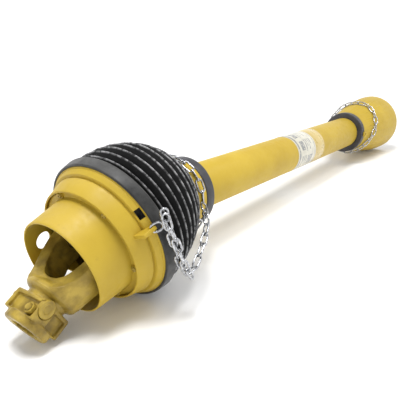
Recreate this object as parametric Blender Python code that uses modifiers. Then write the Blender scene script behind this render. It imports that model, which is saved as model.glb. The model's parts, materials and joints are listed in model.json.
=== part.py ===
"""A telescopic drive shaft with a guard, a wide-angle double joint at its near end and a single
universal joint at its far end. Metres, +Z up; the shaft runs along +X from the near end to the far
end and lies on the ground, its near joint bent down the way it is stored. Every stretch is modelled
straight along its own frame (an empty on its joint), and the empties set the bend."""

import bpy
import bmesh
from math import atan, cos, pi, radians, sin
from mathutils import Matrix, Vector

for old in list(bpy.data.objects):
    bpy.data.objects.remove(old, do_unlink=True)

# --------------------------------------------------------------------- driving dimensions (metres)
GAP = 0.0003                    # clearance between pieces that touch
BEND = radians(16.1)            # stored bend of each half of the wide-angle joint
JOINT_SPAN = 0.084              # between the two crosses of the wide-angle joint
CLOSED_LENGTH = 1.010           # between the outermost crosses, telescope closed
FAR_CROSS = CLOSED_LENGTH - JOINT_SPAN
TRAVEL = 0.330                  # telescope stroke

EAR_INNER = 0.030               # fork ears: inner face from the axis, thickness, round end
EAR_WALL = 0.019
EAR_OUTER = EAR_INNER + EAR_WALL
EAR_RADIUS = 0.023
FORK_DEPTH = 0.044              # cross centre to the bottom of a fork
PLAIN_THROAT = [(FORK_DEPTH, EAR_INNER - 0.008), (FORK_DEPTH - 0.008, EAR_INNER)]
CUP_RADIUS = 0.015              # bearing cups: outside, bore, floor, and how far they are let in
CUP_FLOOR = 0.003
CUP_SUNK = 0.0027
CUP_PROUD = 0.002
TRUNNION_RADIUS = 0.010
CROSS_BODY = 0.0155

SPLINE_ROOT = 0.01745           # 1 3/8 inch six-tooth hub
SPLINE_TIP = 0.01500
SPLINE_TEETH = 6
SPLINE_PHASE = radians(7)
HUB_RADIUS = 0.0285             # flange of the splined hubs
NEAR_HUB_LENGTH = 0.128         # cross to hub end
FAR_HUB_LENGTH = 0.095
HUB_BLOCK = 0.0255              # half width of the near hub's square block
PIN_RADIUS = 0.0040             # the near hub's two clamping pins
TOP_PIN_OFFSET = 0.0125
SIDE_PIN_OFFSET = 0.0145
NUT_RADIUS = 0.0070

BOSS_RADIUS = 0.034             # inner yokes: boss, bearing groove
BOSS_END = 0.094
GROOVE_START = 0.082
GROOVE_WIDTH = 0.006
GROOVE_DEPTH = 0.003

OUTER_LOBE = 0.0260             # profile tubes: mean outside radius, lobe height, wall
INNER_LOBE = 0.0214
LOBE_HEIGHT = 0.0015
PROFILE_WALL = 0.0040
ROLL_PIN_RADIUS = 0.0047
ROLL_PIN_STATION = 0.0720
INNER_TUBE_START = 0.120        # how far the sliding tubes reach in, telescope closed
INNER_GUARD_START = 0.130

GUARD_RADIUS = 0.0365           # guard tubes
GUARD_WALL = 0.0025
GUARD_SLIDE_GAP = 0.0005
NECK_RADIUS = 0.0519            # near guard neck and its collar
NECK_START = 0.060
NECK_END = 0.102
COLLAR_START = 0.088
COLLAR_END = 0.106
COLLAR_RADIUS = 0.0532
LABEL_START = 0.420
LABEL_LENGTH = 0.080
FAR_COLLAR = FAR_CROSS - 0.176  # front face of the far collar
FAR_COLLAR_LENGTH = 0.018
FAR_COLLAR_RADIUS = 0.049
BELL_NECK = 0.0470              # far bell: neck and rim
BELL_START = FAR_CROSS - 0.155
BELL_RIM = FAR_CROSS + 0.036
BELL_RADIUS = 0.0735
SHELL = 0.0025                  # wall of every moulded guard piece

PLATE_MID = -JOINT_SPAN / 2     # middle of the centre yoke, which carries the shield
MOUTH = PLATE_MID - 0.0966      # shield stations along its axis
MOUTH_RADIUS = 0.0638
BARREL_END = PLATE_MID - 0.0470
BARREL_RADIUS = 0.0680
RING_START = PLATE_MID - 0.0511
RING_RADIUS = 0.0787
RING_SHOULDER = PLATE_MID - 0.0296
SHOULDER_RADIUS = 0.0855
LIP_START = PLATE_MID - 0.0270
LIP_RADIUS = 0.0926
SEAT_START = PLATE_MID - 0.0195  # the band's seat behind the lip
SEAT_RADIUS = 0.0945
SEAT_END = PLATE_MID - 0.0050
BAND_END = PLATE_MID - 0.0035
BAND_FRONT_RADIUS = 0.0981
BAND_REAR_RADIUS = 0.1003
BELLOWS_RADIUS = 0.0985         # crest radius at the band, and how it falls towards the neck
BELLOWS_TAPER = 0.0400
BELLOWS_POWER = 2.5
BELLOWS_END = 0.066
FOLD_PITCH = 0.0220
FOLD_DEPTH = 0.0095
PLATE_RADIUS = 0.055            # centre yoke's middle plate
PLATE_HALF = 0.007
DISC_RADIUS = 0.021             # centring disc's seat in that plate

SCREWS = 6
FIRST_SCREW = radians(-20)
GREASE_HOLES = (radians(221), radians(275))
GREASE_STATION = PLATE_MID - 0.0700
GREASE_RADIUS = 0.0115
LUG_ANGLE = radians(70)
ROUND = 24                      # steps round large and small turned pieces
SMALL_ROUND = 12

# ---------------------------------------------------------------------------------- scene helpers
parts = bpy.data.collections.new("universal_joint_shaft")
tools = bpy.data.collections.new("cutters")
frames = bpy.data.collections.new("frames")
for group in (parts, tools, frames):
    bpy.context.scene.collection.children.link(group)

FINISHES = {                    # colour, roughness, metallic
    "yellow guard plastic": ((0.66, 0.42, 0.05, 1), 0.50, 0.0),
    "yellow painted steel": ((0.58, 0.38, 0.06, 1), 0.45, 0.2),
    "black rubber": ((0.02, 0.02, 0.02, 1), 0.60, 0.0),
    "black nylon": ((0.03, 0.03, 0.03, 1), 0.45, 0.0),
    "zinc": ((0.70, 0.71, 0.73, 1), 0.30, 1.0),
    "bare steel": ((0.45, 0.44, 0.42, 1), 0.35, 1.0),
    "white film": ((0.80, 0.80, 0.78, 1), 0.40, 0.0),
}

TURN = {                        # turns an object's own Z to the named axis
    "+X": (0, pi / 2, 0), "-X": (0, -pi / 2, 0),
    "+Y": (-pi / 2, 0, 0), "-Y": (pi / 2, 0, 0),
    "+Z": (0, 0, 0), "-Z": (pi, 0, 0),
}


def frame(name, parent=None, place=(0, 0, 0), turn=(0, 0, 0)):
    """An empty that carries a stretch of the shaft; one stands on every joint."""
    empty = bpy.data.objects.new(name, None)
    empty.empty_display_size = 0.05
    frames.objects.link(empty)
    empty.parent = parent
    empty.location = place
    empty.rotation_euler = turn
    return empty


def paint(obj, finish):
    colour, rough, metal = FINISHES[finish]
    mat = bpy.data.materials.new(obj.name + "_finish")
    mat.use_nodes = True
    shader = mat.node_tree.nodes["Principled BSDF"]
    shader.inputs["Base Color"].default_value = colour
    shader.inputs["Roughness"].default_value = rough
    shader.inputs["Metallic"].default_value = metal
    obj.data.materials.append(mat)


def place(name, data, base, finish=None, at=(0, 0, 0), turn=(0, 0, 0)):
    """Put mesh or curve data in the scene. With no finish it is a tool, which the build leaves out."""
    obj = bpy.data.objects.new(name, data)
    obj.parent = base
    obj.location = at
    obj.rotation_euler = turn
    if finish:
        parts.objects.link(obj)
        paint(obj, finish)
    else:
        tools.objects.link(obj)
        obj.hide_render = True
        obj.display_type = "WIRE"
    return obj


def turned(name, outline, base, finish=None, at=(0, 0, 0), axis="+X", steps=ROUND, closed=True):
    """Turn (station, radius) points about the axis: down the outer side, then up the bore. An open
    outline starts and ends on the axis and makes a solid piece."""
    mesh = bpy.data.meshes.new(name)
    count = len(outline)
    edges = [(i, i + 1) for i in range(count - 1)]
    if closed:
        edges.append((count - 1, 0))
    mesh.from_pydata([(radius, 0, station) for station, radius in outline], edges, [])
    obj = place(name, mesh, base, finish, at, TURN[axis])
    screw = obj.modifiers.new("turn", "SCREW")
    screw.steps = steps
    screw.render_steps = steps
    screw.use_merge_vertices = True
    screw.merge_threshold = 0.00001
    return obj


def tube(name, start, end, bore, radius, base, finish=None, **where):
    outline = [(end, radius), (start, radius), (start, bore), (end, bore)]
    return turned(name, outline, base, finish, **where)


def rod(name, start, end, radius, base, finish=None, **where):
    outline = [(end, 0), (end, radius), (start, radius), (start, 0)]
    return turned(name, outline, base, finish, closed=False, **where)


def flat(name, outlines, half, base, finish=None, at=(0, 0, 0), turn=(0, 0, 0)):
    """A filled 2D outline (with its holes) thickened by half each way, as a mesh."""
    curve = bpy.data.curves.new(name, "CURVE")
    curve.dimensions = "2D"
    curve.fill_mode = "BOTH"
    curve.extrude = half
    for outline in outlines:
        spline = curve.splines.new("POLY")
        spline.points.add(len(outline) - 1)
        for point, (x, y) in zip(spline.points, outline):
            point.co = (x, y, 0, 1)
        spline.use_cyclic_u = True
    return solid_from_curve(name, curve, base, finish, at, turn)


def solid_from_curve(name, curve, base, finish, at=(0, 0, 0), turn=(0, 0, 0)):
    sketch = bpy.data.objects.new(name + "_sketch", curve)
    frames.objects.link(sketch)
    evaluated = sketch.evaluated_get(bpy.context.evaluated_depsgraph_get())
    mesh = bpy.data.meshes.new_from_object(evaluated)
    bpy.data.objects.remove(sketch, do_unlink=True)
    mesh.materials.clear()
    shape = bmesh.new()
    shape.from_mesh(mesh)
    bmesh.ops.remove_doubles(shape, verts=shape.verts, dist=0.00001)
    bmesh.ops.dissolve_limit(shape, angle_limit=0.001, verts=shape.verts, edges=shape.edges)
    bmesh.ops.recalc_face_normals(shape, faces=shape.faces)
    shape.to_mesh(mesh)
    shape.free()
    return place(name, mesh, base, finish, at, turn)


def wire(name, points, radius, base, finish=None, cyclic=False):
    """A round wire through the points, with filled ends."""
    curve = bpy.data.curves.new(name, "CURVE")
    curve.dimensions = "3D"
    curve.bevel_depth = radius
    curve.bevel_resolution = 2
    curve.use_fill_caps = True
    spline = curve.splines.new("POLY")
    spline.points.add(len(points) - 1)
    for point, spot in zip(spline.points, points):
        point.co = (*spot, 1)
    spline.use_cyclic_u = cyclic
    return solid_from_curve(name, curve, base, finish)


def block(name, low, high, base, finish=None, bevel=0.0, turn=(0, 0, 0), at=(0, 0, 0)):
    """A box between two corners of its own frame."""
    mesh = bpy.data.meshes.new(name)
    shape = bmesh.new()
    size = [b - a for a, b in zip(low, high)]
    middle = [(a + b) / 2 for a, b in zip(low, high)]
    stretch = Matrix.Translation(middle) @ Matrix.Diagonal((*size, 1))
    bmesh.ops.create_cube(shape, size=1, matrix=stretch)
    shape.to_mesh(mesh)
    shape.free()
    obj = place(name, mesh, base, finish, at, turn)
    if bevel:
        edge = obj.modifiers.new("bevel", "BEVEL")
        edge.width = bevel
        edge.segments = 2
    return obj


def combine(target, tool, operation):
    step = target.modifiers.new(tool.name, "BOOLEAN")
    step.operation = operation
    step.object = tool
    step.solver = "EXACT"


def join(target, *pieces):
    for piece in pieces:
        combine(target, piece, "UNION")


def cut(target, *pieces):
    for piece in pieces:
        combine(target, piece, "DIFFERENCE")


def arc(middle, radius, start, end, steps, squash=1.0):
    """Points on an arc in degrees; squash scales its second coordinate."""
    angles = [radians(start + (end - start) * i / steps) for i in range(steps + 1)]
    return [(middle[0] + radius * cos(a), middle[1] + squash * radius * sin(a)) for a in angles]


def mirrored(half):
    """Close a half outline with its mirror image across its first axis."""
    return half + [(x, -y) for x, y in reversed(half)]


def smooth_path(points, spacing):
    """Points a spacing apart on a Catmull-Rom curve through the given points."""
    spots = [Vector(p) for p in points]
    spots = [2 * spots[0] - spots[1]] + spots + [2 * spots[-1] - spots[-2]]
    path = []
    for a, b, c, d in zip(spots, spots[1:], spots[2:], spots[3:]):
        steps = max(1, round((c - b).length / spacing))
        for i in range(steps):
            t = i / steps
            path.append(0.5 * (2 * b + (c - a) * t + (2 * a - 5 * b + 4 * c - d) * t ** 2
                               + (3 * b - a - 3 * c + d) * t ** 3))
    return path + [spots[-2]]


def running_bore(radius):
    """A bore that turns freely on a round piece, though both are faceted."""
    return (radius + GAP) / cos(pi / ROUND)


def around(station, radius, angle):
    """A point round the X axis of a frame, its angle counted from +Z towards -Y."""
    return Vector((station, -radius * sin(angle), radius * cos(angle)))


# -------------------------------------------------------------------------------------- the frames
shaft = frame("shaft_frame")
centre = frame("centre_frame", shaft, turn=(0, -BEND, 0))
near = frame("near_frame", centre, (-JOINT_SPAN, 0, 0), (0, -BEND, 0))
far = frame("far_frame", shaft, (FAR_CROSS, 0, 0))


# ----------------------------------------------------------------------- crosses, cups and nipples
def bearing_cup(name, base, at, axis):
    """A needle-bearing cup pressed into an ear, its open end towards the cross."""
    mouth = EAR_INNER - CUP_PROUD
    top = EAR_OUTER - CUP_SUNK
    bore = TRUNNION_RADIUS + GAP
    outline = [(top, 0), (top, CUP_RADIUS), (mouth, CUP_RADIUS), (mouth, bore),
               (top - CUP_FLOOR, bore), (top - CUP_FLOOR, 0)]
    turned(name, outline, base, "bare steel", at, axis, SMALL_ROUND + 2, closed=False)


def cross(name, base, at):
    """A cross with its four trunnions along Y and Z, ribbed body and a grease nipple boss."""
    tip = EAR_OUTER - CUP_SUNK - CUP_FLOOR - GAP
    half = CROSS_BODY
    body = block(name, (-half, -half, -half), (half, half, half), base, "bare steel", at=at)
    for axis in ("+Y", "+Z"):
        outline = [(tip, 0), (tip, TRUNNION_RADIUS), (0.0270, TRUNNION_RADIUS),
                   (0.0262, 0.0135), (-0.0262, 0.0135), (-0.0270, TRUNNION_RADIUS),
                   (-tip, TRUNNION_RADIUS), (-tip, 0)]
        arm = turned(f"{name}_arm{axis}", outline, base, at=at, axis=axis, steps=SMALL_ROUND,
                     closed=False)
        join(body, arm)
    return body


def nipple(name, base, at, side):
    """A grease nipple on the flat of a cross, pointing along X away from its fork."""
    start = CROSS_BODY + GAP
    outline = [(start + 0.0080, 0), (start + 0.0080, 0.0020), (start + 0.0060, 0.0030),
               (start + 0.0030, 0.0018), (start + 0.0030, 0.0036),
               (start, 0.0036), (start, 0)]
    turned(name, outline, base, "bare steel", at, side, 8, closed=False)


def cut_cup_seats(yoke, name, base, at, axis):
    seat = rod(f"{name}_seat{at[0]:+.3f}", -0.060, 0.060, CUP_RADIUS + GAP, base, at=at, axis=axis,
               steps=SMALL_ROUND + 2)
    cut(yoke, seat)


# ------------------------------------------------------------------------------------------- forks
def fork(name, base, flank, waist, throat, turn):
    """A forged fork with its hub along its own +X and its ears on its own +-Y. flank is the outer
    edge seen along the ears' flat side, throat the inner edge from its bottom to the ears, and
    waist the half height seen along the bearing axis."""
    ear = [(-EAR_RADIUS, EAR_INNER), (-EAR_RADIUS, EAR_OUTER)]
    body = flat(name, [mirrored(throat + ear + flank)], EAR_RADIUS + 0.006, base,
                "yellow painted steel", turn=turn)
    back = waist[-1][0] + 0.001
    top = waist[::-1] + arc((0, 0), EAR_RADIUS, 90, 180, 5)
    outline = [(back, waist[-1][1])] + top
    side_turn = Matrix.Rotation(turn[2], 4, "Z") @ Matrix.Rotation(turn[0] + pi / 2, 4, "X")
    side = flat(name + "_side", [mirrored_round(outline)], EAR_OUTER + 0.01, base,
                turn=side_turn.to_euler())
    combine(body, side, "INTERSECT")
    return body


def mirrored_round(half):
    """Mirror a half outline that ends on its own axis, without doubling that point."""
    return half + [(x, -y) for x, y in reversed(half[:-1])]


def spline_bore(yoke, name, base, start, end, side):
    """Cut the six-tooth bore right through a hub, from its end into the fork."""
    step = 2 * pi / SPLINE_TEETH
    outline = []
    for tooth in range(SPLINE_TEETH):
        for radius, share in ((SPLINE_ROOT, -0.30), (SPLINE_ROOT, 0.0), (SPLINE_ROOT, 0.30),
                              (SPLINE_TIP, 0.34), (SPLINE_TIP, 0.66)):
            angle = step * (tooth + share) + SPLINE_PHASE
            outline.append((radius * cos(angle), radius * sin(angle)))
    half = (end - start) / 2
    cutter = flat(name + "_bore", [outline], half, base, None, (side * (start + half), 0, 0),
                  TURN["+X"])
    cut(yoke, cutter)


def lobed(mean):
    """The three-lobed outline of the profile tubes."""
    steps = 24
    angles = [2 * pi * i / steps for i in range(steps)]
    radii = [mean + LOBE_HEIGHT * cos(3 * a) for a in angles]
    return [(r * cos(a), r * sin(a)) for r, a in zip(radii, angles)]


def profile_tube(name, start, end, mean, finish):
    half = (end - start) / 2
    outlines = [lobed(mean), lobed(mean - PROFILE_WALL)]
    return flat(name, outlines, half, shaft, finish, (start + half, 0, 0), TURN["+X"])


def inner_yoke(name, base, turn, lobe_mean, side):
    """A fork that holds a profile tube in its boss, with the groove for the guard's bearing."""
    flank = [(0.016, EAR_OUTER), (0.056, 0.036), (0.060, 0.036)]
    waist = [(0, EAR_RADIUS), (0.030, 0.022), (0.052, 0.030), (0.060, 0.034)]
    yoke = fork(name, base, flank, waist, PLAIN_THROAT, turn)
    groove_end = GROOVE_START + GROOVE_WIDTH
    outline = [(BOSS_END, 0), (BOSS_END, BOSS_RADIUS - 0.001), (BOSS_END - 0.001, BOSS_RADIUS),
               (groove_end, BOSS_RADIUS), (groove_end, BOSS_RADIUS - GROOVE_DEPTH),
               (GROOVE_START, BOSS_RADIUS - GROOVE_DEPTH), (GROOVE_START, BOSS_RADIUS),
               (0.064, BOSS_RADIUS), (0.061, 0.0375), (FORK_DEPTH + 0.004, 0.0375),
               (FORK_DEPTH + 0.001, 0.034), (FORK_DEPTH + 0.001, 0)]
    axis = "+X" if side > 0 else "-X"
    join(yoke, turned(name + "_boss", outline, base, axis=axis, closed=False))
    cut_cup_seats(yoke, name, base, (0, 0, 0), "+Y")
    socket_half = 0.030
    socket = flat(name + "_socket", [lobed(lobe_mean + GAP)], socket_half, base, None,
                  (side * (FORK_DEPTH - 0.004 + socket_half), 0, 0), TURN["+X"])
    cut(yoke, socket)
    pin_at = (side * ROLL_PIN_STATION, 0, 0)
    cut(yoke, rod(name + "_pin_hole", -0.040, 0.040, ROLL_PIN_RADIUS + GAP, base, at=pin_at,
                  axis="+Z", steps=SMALL_ROUND))


def roll_pin(name, base, side):
    half = BOSS_RADIUS - 0.001
    tube(name, -half, half, ROLL_PIN_RADIUS - 0.0020, ROLL_PIN_RADIUS, base, "bare steel",
         at=(side * ROLL_PIN_STATION, 0, 0), axis="+Z", steps=SMALL_ROUND)


# ------------------------------------------------------------------------- near end: splined yoke
def near_yoke():
    """The long splined yoke at the near end: smooth arms, a ridge, and a square hub block."""
    flank = [(0.020, EAR_OUTER), (0.040, 0.0480), (0.055, 0.0450), (0.070, 0.0395),
             (0.080, 0.0345), (0.085, 0.0335)]
    waist = [(0, EAR_RADIUS), (0.020, 0.022), (0.040, 0.0200), (0.060, 0.0195), (0.072, 0.022),
             (0.083, 0.028)]
    throat = [(0.068, 0.004), (0.0665, 0.0105), (0.0615, 0.0170), (0.0530, 0.0225), (0.043, 0.0265),
              (0.033, EAR_INNER)]
    yoke = fork("outer_yoke", near, flank, waist, throat, (0, 0, pi))
    envelope = [(0.0835, 0), (0.0835, 0.0335), (0.079, 0.0355), (0.070, 0.0390), (0.055, 0.0440),
                (0.040, 0.0490), (0.020, 0.0525), (-0.012, 0.0520), (-0.025, 0.047), (-0.025, 0)]
    combine(yoke, turned("outer_yoke_envelope", envelope, near, axis="-X", steps=22,
                         closed=False), "INTERSECT")
    flange = NEAR_HUB_LENGTH - 0.010
    hub = [(NEAR_HUB_LENGTH, 0), (NEAR_HUB_LENGTH, HUB_RADIUS - 0.002),
           (NEAR_HUB_LENGTH - 0.002, HUB_RADIUS), (flange, HUB_RADIUS),
           (flange - 0.002, 0.0250), (0.0945, 0.0245), (0.0885, 0.0250), (0.0855, 0.0315),
           (0.0828, 0.0342), (0.0775, 0.0315), (0.072, 0.0225), (0.0695, 0)]
    join(yoke, turned("outer_yoke_hub", hub, near, axis="-X", closed=False))
    half = HUB_BLOCK
    join(yoke, block("outer_yoke_block", (-flange - 0.001, -half, -half), (-0.0935, half, half),
                     near, bevel=0.002))
    cut_cup_seats(yoke, "outer_yoke", near, (0, 0, 0), "+Y")
    spline_bore(yoke, "outer_yoke", near, 0.050, NEAR_HUB_LENGTH + 0.002, -1)
    hub_pockets(yoke)


TOP_PIN = 0.1095                # stations of the two clamping pins along the hub
SIDE_PIN = 0.1010
POCKET_FLOOR = 0.0205
HEAD_RADIUS = 0.0110


def hub_pockets(yoke):
    """Cast pockets in the hub block's top and side, a round seat for the big pin head, pin holes."""
    half = HUB_BLOCK
    deep = POCKET_FLOOR
    top = block("top_pocket", (-0.1175, -0.0225, deep), (-0.0985, 0.0195, half + 0.01), near,
                bevel=0.0015)
    side = block("side_pocket", (-0.1175, -half - 0.01, -0.0205), (-0.0985, -deep, 0.0010), near,
                 bevel=0.0015)
    seat = rod("head_seat", deep, half + 0.01, HEAD_RADIUS + 0.0007, near,
               at=(-SIDE_PIN, 0, SIDE_PIN_OFFSET), axis="-Y", steps=20)
    holes = [rod("top_pin_hole", -0.04, 0.04, PIN_RADIUS + GAP, near,
                 at=(-TOP_PIN, -TOP_PIN_OFFSET, 0), axis="+Z", steps=SMALL_ROUND),
             rod("side_pin_hole", -0.04, 0.04, PIN_RADIUS + GAP, near,
                 at=(-SIDE_PIN, 0, SIDE_PIN_OFFSET), axis="+Y", steps=SMALL_ROUND)]
    cut(yoke, top, side, seat, *holes)


def clamp_pin(name, at, axis, head_radius, head_bottom, head_top, tip):
    """A clamping pin: a flat round head and a plain shank to its tip."""
    outline = [(head_top, 0), (head_top, head_radius - 0.0008), (head_top - 0.0008, head_radius),
               (head_bottom, head_radius), (head_bottom, PIN_RADIUS), (tip + 0.001, PIN_RADIUS),
               (tip, PIN_RADIUS - 0.001), (tip, 0)]
    turned(name, outline, near, "yellow painted steel", at, axis, 14, closed=False)


def hex_nut(name, at, axis, bottom, height=0.006):
    hexagon = arc((0, 0), NUT_RADIUS, 0, 300, 5)
    bore = arc((0, 0), PIN_RADIUS + 2 * GAP, 0, 330, 11)
    shift = TURN[axis]
    half = height / 2
    offset = {"+Z": (0, 0, bottom + half), "+Y": (0, bottom + half, 0)}[axis]
    spot = [a + b for a, b in zip(at, offset)]
    flat(name, [hexagon, bore], half, near, "yellow painted steel", spot, shift)


def near_clamps():
    top = (-TOP_PIN, -TOP_PIN_OFFSET, 0)
    side = (-SIDE_PIN, 0, SIDE_PIN_OFFSET)
    clamp_pin("clamp_pin_top", top, "-Z", 0.0075, HUB_BLOCK + GAP, HUB_BLOCK + 0.0035, -0.0295)
    hex_nut("clamp_nut_top", top, "+Z", POCKET_FLOOR + GAP)
    clamp_pin("clamp_pin_side", side, "-Y", HEAD_RADIUS, POCKET_FLOOR + GAP, HUB_BLOCK + 0.0010,
              -0.0335)
    hex_nut("clamp_nut_side", side, "+Y", HUB_BLOCK + GAP, 0.005)


# ------------------------------------------------------------------------ the wide-angle's middle
def centre_yoke():
    """Two long cheeks joined by a round plate that carries the shield's bearing and the disc that
    centres the joint."""
    start, end = -JOINT_SPAN, 0
    outline = arc((end, 0), EAR_RADIUS, -90, 90, 9) + [(start / 2, EAR_RADIUS - 0.0015)]
    outline += arc((start, 0), EAR_RADIUS, 90, 270, 9) + [(start / 2, 0.0015 - EAR_RADIUS)]
    mid = (EAR_INNER + EAR_OUTER) / 2
    cheek = EAR_WALL / 2
    yoke = flat("centre_yoke", [outline], cheek, centre, "yellow painted steel", (0, 0, mid))
    join(yoke, flat("centre_yoke_low", [outline], cheek, centre, None, (0, 0, -mid)))
    middle = start / 2
    left, right = middle - PLATE_HALF, middle + PLATE_HALF
    groove = PLATE_RADIUS - GROOVE_DEPTH
    half = GROOVE_WIDTH / 2 - 0.0005
    join(yoke, tube("centre_yoke_plate", left, right, DISC_RADIUS, PLATE_RADIUS, centre))
    cut(yoke, tube("centre_yoke_groove", middle - half, middle + half, groove,
                   PLATE_RADIUS + 0.005, centre))
    reach = EAR_OUTER + EAR_RADIUS
    cut(yoke, tube("centre_yoke_seat", left - GAP, right + GAP, PLATE_RADIUS + GAP, reach, centre))
    for name, station in (("inner", end), ("outer", start)):
        cut_cup_seats(yoke, "centre_yoke_" + name, centre, (station, 0, 0), "+Z")
    disc = PLATE_HALF - 0.002
    tube("centring_disc", middle - disc, middle + disc, 0.0090, DISC_RADIUS - GAP, centre, "bare steel",
         steps=20)


# ------------------------------------------------------------------------------------- the shield
def ring_radius(station):
    """Outside of the shield's rear ring between its front edge and its shoulder."""
    share = (station - RING_START) / (RING_SHOULDER - RING_START)
    return RING_RADIUS + share * (SHOULDER_RADIUS - RING_RADIUS)


FLANGE_BACK = BARREL_END + SHELL
SCREW_CIRCLE = 0.0727
SCREW_RADIUS = 0.0018


def shield():
    """The shield: a front barrel screwed to a stepped rear ring, which holds the bearing web."""
    flange = ring_radius(RING_START) - SHELL - 2 * GAP
    barrel = [(FLANGE_BACK, flange), (BARREL_END, flange), (BARREL_END, BARREL_RADIUS),
              (MOUTH + 0.003, MOUTH_RADIUS + 0.0003), (MOUTH, MOUTH_RADIUS - 0.0004),
              (MOUTH, MOUTH_RADIUS - SHELL), (FLANGE_BACK, BARREL_RADIUS - SHELL)]
    front = turned("shield_front", barrel, centre, "yellow guard plastic")
    for i, angle in enumerate(GREASE_HOLES):
        hole = rod(f"grease_hole_{i}", 0.05, 0.08, GREASE_RADIUS, centre,
                   at=(GREASE_STATION, 0, 0), axis="+Z")
        hole.rotation_euler = (angle, 0, 0)
        cut(front, hole)
    inner_flange = FLANGE_BACK + GAP
    back = inner_flange + SHELL
    ring = [(SEAT_END, SEAT_RADIUS), (SEAT_START, SEAT_RADIUS), (SEAT_START, LIP_RADIUS),
            (SEAT_START - 0.001, LIP_RADIUS), (LIP_START, LIP_RADIUS - 0.0036),
            (LIP_START, SHOULDER_RADIUS - 0.002), (RING_SHOULDER, SHOULDER_RADIUS - 0.002),
            (RING_SHOULDER, SHOULDER_RADIUS), (RING_START, RING_RADIUS),
            (RING_START, RING_RADIUS - SHELL), (inner_flange, ring_radius(inner_flange) - SHELL),
            (inner_flange, 0.070), (back, 0.070), (back, ring_radius(back) - SHELL),
            (LIP_START + SHELL, SHOULDER_RADIUS - 0.002 - SHELL),
            (LIP_START + SHELL, LIP_RADIUS - 0.0036 - 0.0015),
            (SEAT_START + 0.0005, SEAT_RADIUS - SHELL - 0.0002), (SEAT_END, SEAT_RADIUS - SHELL)]
    rear = turned("shield_ring", ring, centre, "yellow guard plastic")
    shield_lug(rear)
    shield_screws(front, rear)
    plate_mid = PLATE_MID
    lip = GROOVE_WIDTH / 2 - 0.0008
    rim = running_bore(PLATE_RADIUS)
    lip_bore = running_bore(PLATE_RADIUS - GROOVE_DEPTH)
    web_back = plate_mid + 0.0005
    web_front = web_back - 0.0035
    reach = SEAT_RADIUS - SHELL - 2 * GAP
    bearing = [(plate_mid + 0.0055, rim + 0.004), (web_back, rim + 0.006), (web_back, reach),
               (web_front - 0.012, reach), (web_front - 0.012, reach - SHELL),
               (web_front, reach - SHELL), (web_front, rim + 0.006),
               (plate_mid - 0.0065, rim + 0.004), (plate_mid - 0.0065, rim),
               (plate_mid - lip, rim), (plate_mid - lip, lip_bore),
               (plate_mid + lip, lip_bore), (plate_mid + lip, rim),
               (plate_mid + 0.0055, rim)]
    turned("shield_bearing", bearing, centre, "black nylon")
    band = [(BAND_END, BAND_REAR_RADIUS - 0.001), (BAND_END - 0.001, BAND_REAR_RADIUS),
            (SEAT_START + 0.0013, BAND_FRONT_RADIUS), (SEAT_START + GAP, BAND_FRONT_RADIUS - 0.001),
            (SEAT_START + GAP, SEAT_RADIUS + GAP), (BAND_END, SEAT_RADIUS + GAP)]
    turned("bellows_band", band, centre, "black rubber")


LUG_HOLE = (LIP_START + 0.0015, 0.0968)    # station and radius of the lug's hole
LUG_HALF = 0.0025


def shield_lug(rear):
    """The lug that holds the chain's hook, on the rear ring's lip, and the slot beside it."""
    lug = block("lug", (LIP_START - 0.0140, -LUG_HALF, 0.0810),
                (LIP_START + 0.0068, LUG_HALF, 0.1015), centre,
                bevel=0.001, turn=(LUG_ANGLE, 0, 0))
    hole = rod("lug_hole", -0.01, 0.01, 0.0032, centre, at=around(*LUG_HOLE, LUG_ANGLE), axis="+Y",
               steps=12)
    hole.rotation_euler = (LUG_ANGLE - pi / 2, 0, 0)
    slot = block("lip_slot", (LIP_START - 0.0022, -0.0065, 0.0860),
                 (SEAT_START + 0.0007, 0.0065, 0.1), centre,
                 turn=(LUG_ANGLE - radians(13), 0, 0))
    join(rear, lug)
    cut(rear, hole, slot)


def shield_screws(front, rear):
    for i in range(SCREWS):
        angle = FIRST_SCREW + 2 * pi * i / SCREWS
        spot = around(0, SCREW_CIRCLE, angle)
        tail = FLANGE_BACK + GAP + SHELL + 0.002
        for piece in (front, rear):
            hole = rod(f"screw_hole_{i}_{piece.name}", BARREL_END - 0.004, tail,
                       SCREW_RADIUS + GAP, centre, at=spot, axis="+X", steps=8)
            cut(piece, hole)
        head = BARREL_END - GAP
        outline = [(tail, 0), (tail, SCREW_RADIUS), (head, SCREW_RADIUS), (head, 0.0034),
                   (head - 0.0016, 0.0034), (head - 0.0026, 0.0024), (head - 0.0026, 0)]
        turned(f"shield_screw_{i + 1}", outline, centre, "yellow painted steel", spot, "+X", 8,
               closed=False)


def chain_hook():
    """An open oval link through the lug's hole, reaching back to the chain."""
    start = around(*LUG_HOLE, LUG_ANGLE)
    end = around(LUG_HOLE[0] + 0.0103, 0.1070, LUG_ANGLE)
    across = around(0, 1, LUG_ANGLE + pi / 2).normalized()
    along = (end - start).normalized()
    length = (end - start).length
    radius = 0.0050
    points = []
    for middle, first in ((radius, 90), (length - radius, -90)):
        for a in range(first, first + 181, 30):
            spot = start + along * (middle + radius * cos(radians(a)))
            points.append(spot + across * radius * sin(radians(a)))
    wire("chain_hook_near", points, 0.0015, centre, "zinc", cyclic=True)


# ------------------------------------------------------------------------------------ the bellows
def bellows_radius(station):
    """Crest radius of the straightened bellows: a drum that curves down to the neck."""
    share = (station - BAND_END) / (NECK_START - BAND_END)
    return BELLOWS_RADIUS - BELLOWS_TAPER * share ** BELLOWS_POWER


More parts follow.
